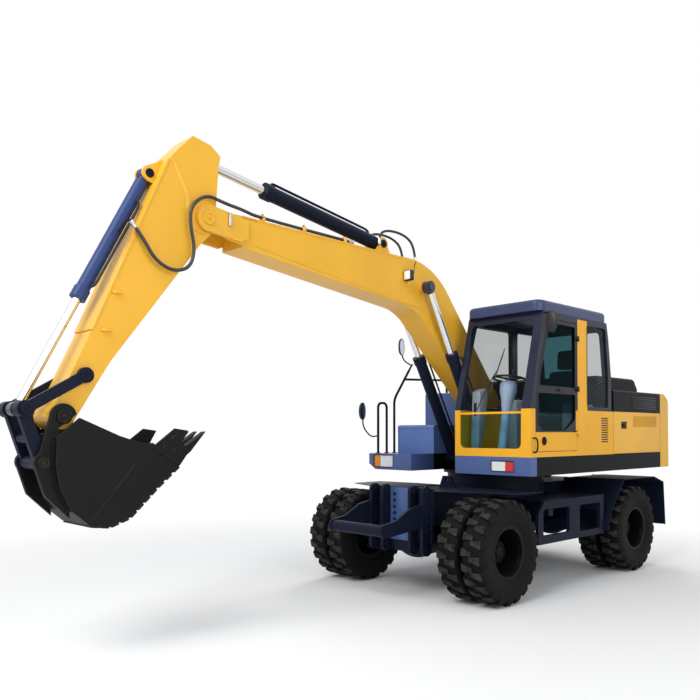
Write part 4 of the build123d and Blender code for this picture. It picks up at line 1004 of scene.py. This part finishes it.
# %% Doublers and strips on the boom and the arm
tip_doubler = cut_plate("boom_tip_doubler", [(3880, 3420), (4080, 3452), (4200, 3500), (4180, 3690),
                                             (3900, 3690), (3866, 3650)], 7)
tip_doubler.data.transform(Matrix.Translation(spot(0, 5.2, 0)))
bevelled(tip_doubler, 5, 2)
fitted(tip_doubler, yellow, "boom")
arm_doubler = cut_plate("arm_pivot_doubler", [(4300, 3450), (4420, 3470), (4475, 3600), (4475, 3760),
                                              (4560, 3900), (4600, 4010), (4570, 4020), (4500, 3900),
                                              (4440, 3790), (4400, 3740)], 4)
arm_doubler.data.transform(Matrix.Translation(spot(0, 0.2, 0)))
bevelled(arm_doubler, 3, 2)
fitted(arm_doubler, yellow, "arm")
front_strip = cut_plate("arm_front_strip", [(4628, 4022), (5286, 2524), (5306, 2532), (4648, 4030)], 312)
front_strip.data.transform(Matrix.Translation(spot(0, -306, 0)))
bevelled(front_strip, 3, 1)
fitted(front_strip, yellow, "arm")
for x, z in ((5095, 2845), (5185, 2535)):
    tab = block_of(f"arm_tab_{x}", (x - 42, 0.2, z - 12), (x + 42, 22, z + 12), 4, 2)
    fitted(tab, yellow, "arm")
print("strips ready")

# %% Boom weld seams and greasing block
seams = [bent_bar("seam", [(1750, 5, 3662), (3860, 5, 3678)], 5, 10),
         bent_bar("seam", [(1450, 5, 3150), (1700, 5, 3170), (3700, 5, 3436)], 5, 80)]
seam = joined(seams, "boom_weld_seams")
fitted(seam, yellow, "boom")
grease = block_of("greasing_block", (4040, 37, 3560), (4072, 58, 3680), 5, 2)
fitted(grease, bolt_steel, "boom")
print("seams ready")


# %% Hose clips along the boom's top
def boom_top(x):
    """The height of the boom's top plate at a place along the boom."""
    return 3680 + 20 * (x - 1212) / 2688


clip_xs, clip_height = (2600, 3150, 3650), 52
clips = [block_of("clip", (x - 22, -52, boom_top(x) - 2), (x + 22, 6, boom_top(x) + clip_height), 12, 3)
         for x in clip_xs]
fitted(joined(clips, "hose_clips"), yellow, "boom")
clip_bolts = placed(hex_bolt("hose_clip_bolts", 20), (0, 0, 1),
                    [(x, -20, boom_top(x) + clip_height) for x in clip_xs])
fitted(clip_bolts, dark_plastic, "boom")
print("clips ready")

# %% Hard pipes beside the cylinders
pipe = bent_bar("arm_cylinder_pipe", [(2120, -150, 3905), (2150, -150, 3935), (3440, -150, 4130),
                                      (3450, -150, 4110)], 13, 40)
fitted(pipe, navy, "arm_barrel")
pipe = bent_bar("bucket_cylinder_pipe", [(4880, -78, 3640), (4870, -76, 3590), (5240, -76, 2890),
                                         (5262, -90, 2880)], 12, 40)
fitted(pipe, dark_plastic, "bucket_barrel")
lines = []
for y in (100, -400):
    lines.append(bent_bar("line", [(395, y + 82, 1700), (420, y + 84, 1735), (905, y + 84, 2590),
                                   (912, y + 72, 2620)], 11, 40))
fitted(joined(lines, "boom_cylinder_pipes"), navy, "boom_barrel")
print("hard pipes ready")

# %% [markdown]
# ## Bucket wear parts
#
# Wear strips are welded in steps along the curved floor, side cutters are held by two bolts each, and a
# weld runs round the edge of the side plate.

# %% Wear strips and bolts
bucket_right, bucket_left = -404, 104
floor_line = [(4582, 1471), (4791, 1293), (5023, 1075), (5188, 1018), (5347, 1038)]
strips = []
for (x0, z0), (x1, z1) in zip(floor_line, floor_line[1:]):
    run = math.hypot(x1 - x0, z1 - z0)
    count = max(1, round(run / 90))
    down = Vector((z1 - z0, 0, -(x1 - x0))).normalized()
    for step in range(count):
        share = (step + 0.5) / count
        centre = (x0 + (x1 - x0) * share, z0 + (z1 - z0) * share)
        strip = block_of("strip", (centre[0] - 32, bucket_right, centre[1] - 9),
                         (centre[0] + 32, bucket_left, centre[1] + 9), 3, 1)
        middle = spot(centre[0], boom_mid_y, centre[1])
        tilt = math.atan2(z1 - z0, x1 - x0)
        strip.data.transform(Matrix.Translation(middle + down * 0.006)
                             @ Matrix.Rotation(-tilt, 4, "Y") @ Matrix.Translation(-middle))
        strips.append(strip)
fitted(joined(strips, "bucket_wear_strips"), bucket_steel, "bucket")
cutter_bolts = joined([
    placed(hex_bolt("cutter_bolts_left", 30), (0, 1, 0), [(4640, 118, 1600), (4730, 118, 1622),
                                                          (4650, 118, 1700)]),
    placed(hex_bolt("cutter_bolts_right", 30), (0, -1, 0), [(4640, -418, 1600), (4730, -418, 1622),
                                                            (4650, -418, 1700)])], "cutter_bolts")
fitted(cutter_bolts, bucket_steel, "bucket")
side_weld = bent_bar("bucket_side_weld", [(4975, 102, 1499), (5347, 102, 1060)], 4, 10)
fitted(side_weld, bucket_steel, "bucket")
print("wear strips", len(strips))

# %% [markdown]
# ## Wheels and undercarriage
#
# Ten nuts hold each pair of rims, a planetary hub with its own ring of bolts stands in the dish, and
# the slewing ring shows its bright bolts under the deck. The bracket plates have rows of holes, and a
# blue panel with holes of its own closes the space between the inner two. Each hole is drawn as a dark
# disc under a thin rim, and its darkness is painted shade.

# %% Wheel nuts and hub bolts
flange_y, hub_y = 975.4, 1095.4
nut_z, cover_z = 529.7, 530
for end in ("front", "rear"):
    for hand, sign in (("left", 1), ("right", -1)):
        centre = Vector(joint[f"wheel_{end}_{hand}_spin"]["pos_m"])
        x = (centre.x - slew_x) / MM
        ring = []
        for count, reach, y, across in ((10, 160, flange_y, 30), (12, 84, hub_y, 18)):
            places = []
            for number in range(count):
                angle = 2 * math.pi * number / count
                places.append((x + reach * math.cos(angle), y * sign, nut_z + reach * math.sin(angle)))
            ring.append(placed(hex_bolt("nut", across, across * 0.5), (0, sign, 0), places))
        cover = placed(turned("cover", [(0, 0.05), (0, 62), (8, 62), (14, 54), (14, 0.05)], 36),
                       (0, sign, 0), [(x, hub_y * sign, cover_z)])
        ring.append(cover)
        fitted(joined(ring, f"hub_bolts_{end}_{hand}"), black, f"wheel_{end}_{hand}")
print("hub bolts ready")

# %% Slewing ring bolts, painted shade of the bracket holes, and the blue panel
ring_count, ring_reach = 36, 565
ring_places = []
for number in range(ring_count):
    angle = 2 * math.pi * number / ring_count
    ring_places.append((ring_reach * math.cos(angle), ring_reach * math.sin(angle), 1240))
ring_bolts = placed(hex_bolt("slewing_ring_bolts", 24), (0, 0, 1), ring_places)
ring_bolts.data.transform(Matrix.Translation((0, 0, -0.012)))
fitted(ring_bolts, bolt_steel, "chassis")
panel = block_of("bracket_centre_panel", (1736, -176, 560), (1746, 176, 1135), 4, 2)
fitted(panel, blue, "chassis")
holes = []
for y in (-110, 110):
    for z in range(640, 1090, 70):
        holes.append((1746.2, y, z))
# Dark discs with a thin rim stand for the panel's holes: their darkness is painted shade
painted_hole_shade = placed(turned("panel_hole_painted_shade", [(0, 0.05), (0, 22), (1.6, 22), (1.6, 17), (0.4, 16.5),
                                          (0.4, 0.05)], 20), (1, 0, 0), holes)
fitted(painted_hole_shade, dark_plastic, "chassis")
plate_holes = []
for y in (394.3, 219.3, -180.7, -355.7):
    for z in (700, 800, 900):
        plate_holes.append((1795, y, z))
# Dark discs with a thin rim stand for the bracket plates' holes: their darkness is painted shade
painted_bracket_hole_shade = placed(turned("bracket_hole_painted_shade", [(0, 0.05), (0, 17), (1.2, 17), (1.2, 13), (0.3, 12.5),
                                       (0.3, 0.05)], 20), (0, 1, 0), plate_holes)
fitted(painted_bracket_hole_shade, dark_plastic, "chassis")
pins = []
for y in (-375, -200, 200, 375):
    for z in (500, 1100):
        pins.append((1789.8, y + 19.2, z))
pin_ends = placed(turned("bracket_pins", [(-38, 0.05), (-38, 29), (6, 29), (9, 25), (9, 0.05)], 28),
                  (0, 1, 0), pins)
fitted(pin_ends, navy, "chassis")
print("undercarriage bolts ready")

# %% [markdown]
# ## Inside the cab
#
# The seat is a foam cushion and a back under woven cloth, on a dark suspension box, with a console and
# a short lever on each side. In front stand the steering column, narrow at its foot and wide at its
# head, a thin wheel with a knob, and a pale console with a dark slot. A cushion starts as a cut plate of
# its side view, is rounded and divided, and is then crowned, so that it swells between its edges.

# %% Seat cloth
# Woven polyester, which is matt with a soft sheen along its edges. Its threads are about 4.5 mm apart,
# drawn coarser than the real 1 mm so that they show.
seat_cloth, tree, out = new_material("woven_seat_cloth")
place = add(tree, "ShaderNodeTexCoord")
warp = add(tree, "ShaderNodeTexWave", {"Vector": place.outputs["Object"], "Scale": 70.0},
           bands_direction="Y")
weft = add(tree, "ShaderNodeTexWave", {"Vector": place.outputs["Object"], "Scale": 70.0},
           bands_direction="Z")
weave = add(tree, "ShaderNodeMath", {0: warp.outputs[1], 1: weft.outputs[1]}, operation="MULTIPLY")
tone = add(tree, "ShaderNodeMix", {0: weave.outputs[0], 6: linear("#23262a"), 7: linear("#3c4147")},
           data_type="RGBA")
skin = add(tree, "ShaderNodeBump", {"Height": weave.outputs[0], "Strength": 0.35, "Distance": 0.002})
shader = add(tree, "ShaderNodeBsdfPrincipled", {"Base Color": tone.outputs[2], "Roughness": 0.9,
                                                "Sheen Weight": 0.3, "Normal": skin.outputs[0]})
tree.links.new(shader.outputs[0], out.inputs[0])
print("seat cloth", seat_cloth.name)


# %% Cushions
def cushion(name, outline, y, crown):
    """A padded piece from its side outline in millimetres, from y to y, swollen by a crown."""
    pad = cut_plate(name, outline, y[1] - y[0])
    pad.data.transform(Matrix.Translation(spot(0, y[0], 0)))
    bevelled(pad, 34, 4)
    clear()
    pad.select_set(True)
    bpy.context.view_layer.objects.active = pad
    modifier = pad.modifiers.new("soft", "SUBSURF")
    modifier.levels = modifier.render_levels = 2
    bpy.ops.object.modifier_apply(modifier=modifier.name)
    middle = sum((v.co for v in pad.data.vertices), Vector()) / len(pad.data.vertices)
    half = (y[1] - y[0]) / 2 * MM
    for vertex in pad.data.vertices:
        share = max(0.0, 1 - ((vertex.co.y - middle.y) / half) ** 2)
        out_from = vertex.co - middle
        out_from.y = 0
        vertex.co += out_from.normalized() * crown * share * MM
    pad.data.materials.append(seat_cloth)
    smooth(pad, 60)
    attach(pad, "upper")
    return pad


seat_pad = cushion("seat_cushion", [(-520, 1850), (-4, 1850), (-4, 1940), (-520, 1945)], (446, 924), 8)
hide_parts("cab_interior")
cushion("seat_back", [(-436, 1960), (-545, 2505), (-630, 2505), (-552, 1960)], (448, 922), 8)
cushion("head_rest", [(-526, 2530), (-549, 2762), (-622, 2762), (-632, 2530)], (560, 810), 6)
box = block_of("seat_box", (-540, 470, 1515), (-60, 900, 1845), 26, 3)
fitted(box, dark_plastic, "upper")
print("seat ready")

# %% Consoles, levers and pedals
for name, low, high in (("right_console", (-480, 264, 1515), (120, 400, 2135)),
                        ("left_console", (-480, 970, 1515), (60, 1098, 2075))):
    fitted(block_of(name, low, high, 30, 4), plastic, "upper")
    top = ((low[0] + high[0]) / 2 + 200, (low[1] + high[1]) / 2, high[2])
    lever = placed(turned(f"{name}_lever", [(-2, 0.05), (-2, 46), (10, 40), (34, 12), (110, 10), (118, 22),
                                            (168, 25), (186, 14), (188, 0.05)], 20), (0.15, 0, 1), [top])
    fitted(lever, dark_plastic, "upper")
stand = cut_plate("front_console", [(826, 1520), (894, 1520), (856, 2208), (724, 2248), (696, 2158)], 110)
stand.data.transform(Matrix.Translation(spot(0, 290, 0)))
fitted(bevelled(stand, 10, 3), plastic, "upper")
slot_piece = block_of("console_slot", (780, 330, 1930), (884, 360, 2080), 6, 2)
fitted(slot_piece, dark_plastic, "upper")
pedals = joined([block_of("pedal", (800, y, 1520), (925, y + 70, 1546), 8, 2) for y in (615, 715)],
                "brake_pedals")
fitted(pedals, dark_plastic, "upper")
print("consoles ready")

# %% Steering column and wheel
foot, head = spot(857, 700, 1520), spot(719, 700, 2322)
column = turned("steering_column", [(0, 0.05), (0, 56), (60, 50), (430, 46), (600, 70), (680, 92),
                                    (770, 96), (800, 80), (812, 30), (812, 0.05)], 32)
column.data.transform(facing(head - foot, foot))
fitted(column, pale_plastic, "upper")
clear()
bpy.ops.mesh.primitive_torus_add(major_radius=0.18, minor_radius=0.013, major_segments=56,
                                 minor_segments=12)
rim = bpy.context.object
rim.name = "wheel_rim"
spokes = [rim]
for number in range(3):
    angle = math.radians(90 + 120 * number)
    spoke = turned("spoke", [(0, 0.05), (0, 15), (90, 11), (176, 9), (176, 0.05)], 12)
    spoke.data.transform(facing((math.cos(angle), math.sin(angle), 0.0), (0, 0, 0)))
    spokes.append(spoke)
boss = turned("boss", [(-22, 0.05), (-22, 34), (10, 36), (16, 26), (16, 0.05)], 28)
boss.data.transform(facing((0, 0, 1), (0, 0, 0)))
knob = turned("knob", [(0, 0.05), (0, 10), (30, 9), (34, 20), (54, 24), (72, 14), (74, 0.05)], 18)
knob.data.transform(facing((0, 0, 1), (0.12, 0.134, 0.0)))
wheel = joined(spokes + [boss, knob], "steering_wheel")
wheel.data.transform(Matrix.Translation(spot(713, 700, 2342)) @ Matrix.Rotation(math.radians(-10), 4, "Y"))
fitted(wheel, dark_plastic, "upper")
print("steering wheel", len(wheel.data.polygons), "faces")

# %% [markdown]
# ## Body trim
#
# Dark sheets lie behind the grille slots and louvres: they stand for the mesh there, and their darkness is
# painted shade of the space behind. A flat dark patch on each side door is painted shade of the handle
# pocket. Rubber seals run round the panes, lamps have a dark bezel, and the black band behind the cab
# carries a louvred vent.

# %% Dark sheets of painted shade behind slots and in the handle pockets
def side_block(name, hand, x, y, z, round_off, segments):
    """A block on the left (1) or right (-1) side, from spans in millimetres with y counted outwards."""
    low_y, high_y = sorted(value * hand for value in y)
    return block_of(name, (x[0], low_y, z[0]), (x[1], high_y, z[1]), round_off, segments)


for hand, suffix in ((1, "left"), (-1, "right")):
    # A dark sheet behind the grille slots stands for the mesh, and its darkness is painted shade of the bay
    # behind
    painted_shade_sheet = side_block(f"grille_painted_shade_{suffix}", hand, (-2008, -1332), (1169.2, 1170.4), (1811, 1951),
                            0.4, 1)
    fitted(painted_shade_sheet, dark_plastic, f"side_door_{suffix}")
    # A flat dark patch on the door face: painted shade of the recessed handle pocket
    recess_shade_patch = side_block(f"handle_recess_painted_shade_{suffix}", hand, (-1162, -998), (1169.2, 1170.6), (1784, 1876),
                        0.4, 1)
    fitted(recess_shade_patch, dark_plastic, f"side_door_{suffix}")
    pull = side_block(f"door_pull_{suffix}", hand, (-1120, -1040), (1172, 1184), (1812, 1846), 4, 2)
    fitted(pull, black, f"side_door_{suffix}")
# A dark sheet behind the louvres stands for the mesh, and its darkness is painted shade of the space behind
louvre_painted_shade = block_of("louvre_painted_shade", (-662, 1173.1, 1619), (-488, 1174.2, 1916), 0.4, 1)
fitted(louvre_painted_shade, dark_plastic, "upper")
vents = []
for hand in (1, -1):
    for number in range(7):
        z = 2040 + number * 24
        vents.append(side_block("slat", hand, (-1980, -1300), (1184, 1191), (z, z + 13), 3, 2))
fitted(joined(vents, "band_vents"), dark_plastic, "upper")
print("grilles lined")


# %% Seals and bezels
def seal(name, outline, y, body):
    """A rubber seal along an outline of (x, z) in millimetres, at a place across the cab."""
    loop = [(x, y, z) for x, z in outline]
    half = ((loop[0][0] + loop[-1][0]) / 2, y, (loop[0][2] + loop[-1][2]) / 2)
    return fitted(bent_bar(name, [half] + loop + [half], 6, 40), dark_plastic, body)


seal("quarter_light_seal", [(-150, 2030), (-660, 2030), (-665, 2400), (-595, 2990), (-150, 2990)], 1185,
     "upper")
seal("right_light_seal", [(-40, 2030), (-40, 2985), (690, 2985), (880, 2402), (930, 2030)], 190, "upper")
seal("upper_door_seal", [(880, 2240), (850, 2402), (665, 2940), (120, 2940), (120, 2240)], 1184,
     "cab_door")
seal("lower_door_seal", [(905, 2170), (905, 1830), (820, 1750), (350, 1750), (120, 1882), (120, 2170)],
     1184, "cab_door")
for name, x, y, z in (("right_headlamp_bezel", 1050, (-1108, -776), (1307, 1459)),
                      ("bumper_lamp_bezel", 1050, (686, 979), (1316, 1429))):
    ring = [(x, y[0], z[0]), (x, y[1], z[0]), (x, y[1], z[1]), (x, y[0], z[1])]
    start = (x, (y[0] + y[1]) / 2, z[0])
    fitted(bent_bar(name, [start] + ring[1:] + [ring[0], start], 6, 14), dark_plastic, "upper")
latch = placed(turned("door_latch", [(0, 0.05), (0, 46), (4, 46), (7, 40), (7, 22), (3, 20), (3, 0.05)],
                      36), (0, 1, 0), [(800, 1195.2, 1648)])
fitted(latch, black, "cab_door")
wiper = joined([bent_bar("arm", [(1052, 500, 1990), (1000, 600, 2240), (962, 700, 2420)], 6, 30),
                bent_bar("blade", [(1032, 640, 2120), (905, 760, 2640)], 7, 20)], "wiper")
fitted(wiper, dark_plastic, "upper")
knob = placed(turned("roof_plug", [(-2, 0.05), (-2, 30), (14, 28), (20, 16), (20, 0.05)], 24), (0, 0, 1),
              [(530, 1060, 3185)])
fitted(knob, black, "upper")
ribs = joined([block_of("rib", (-560, y, 3176), (700, y + 60, 3192), 6, 2) for y in (420, 640, 860)],
              "roof_ribs")
fitted(ribs, roof_paint, "upper")
print("trim ready")
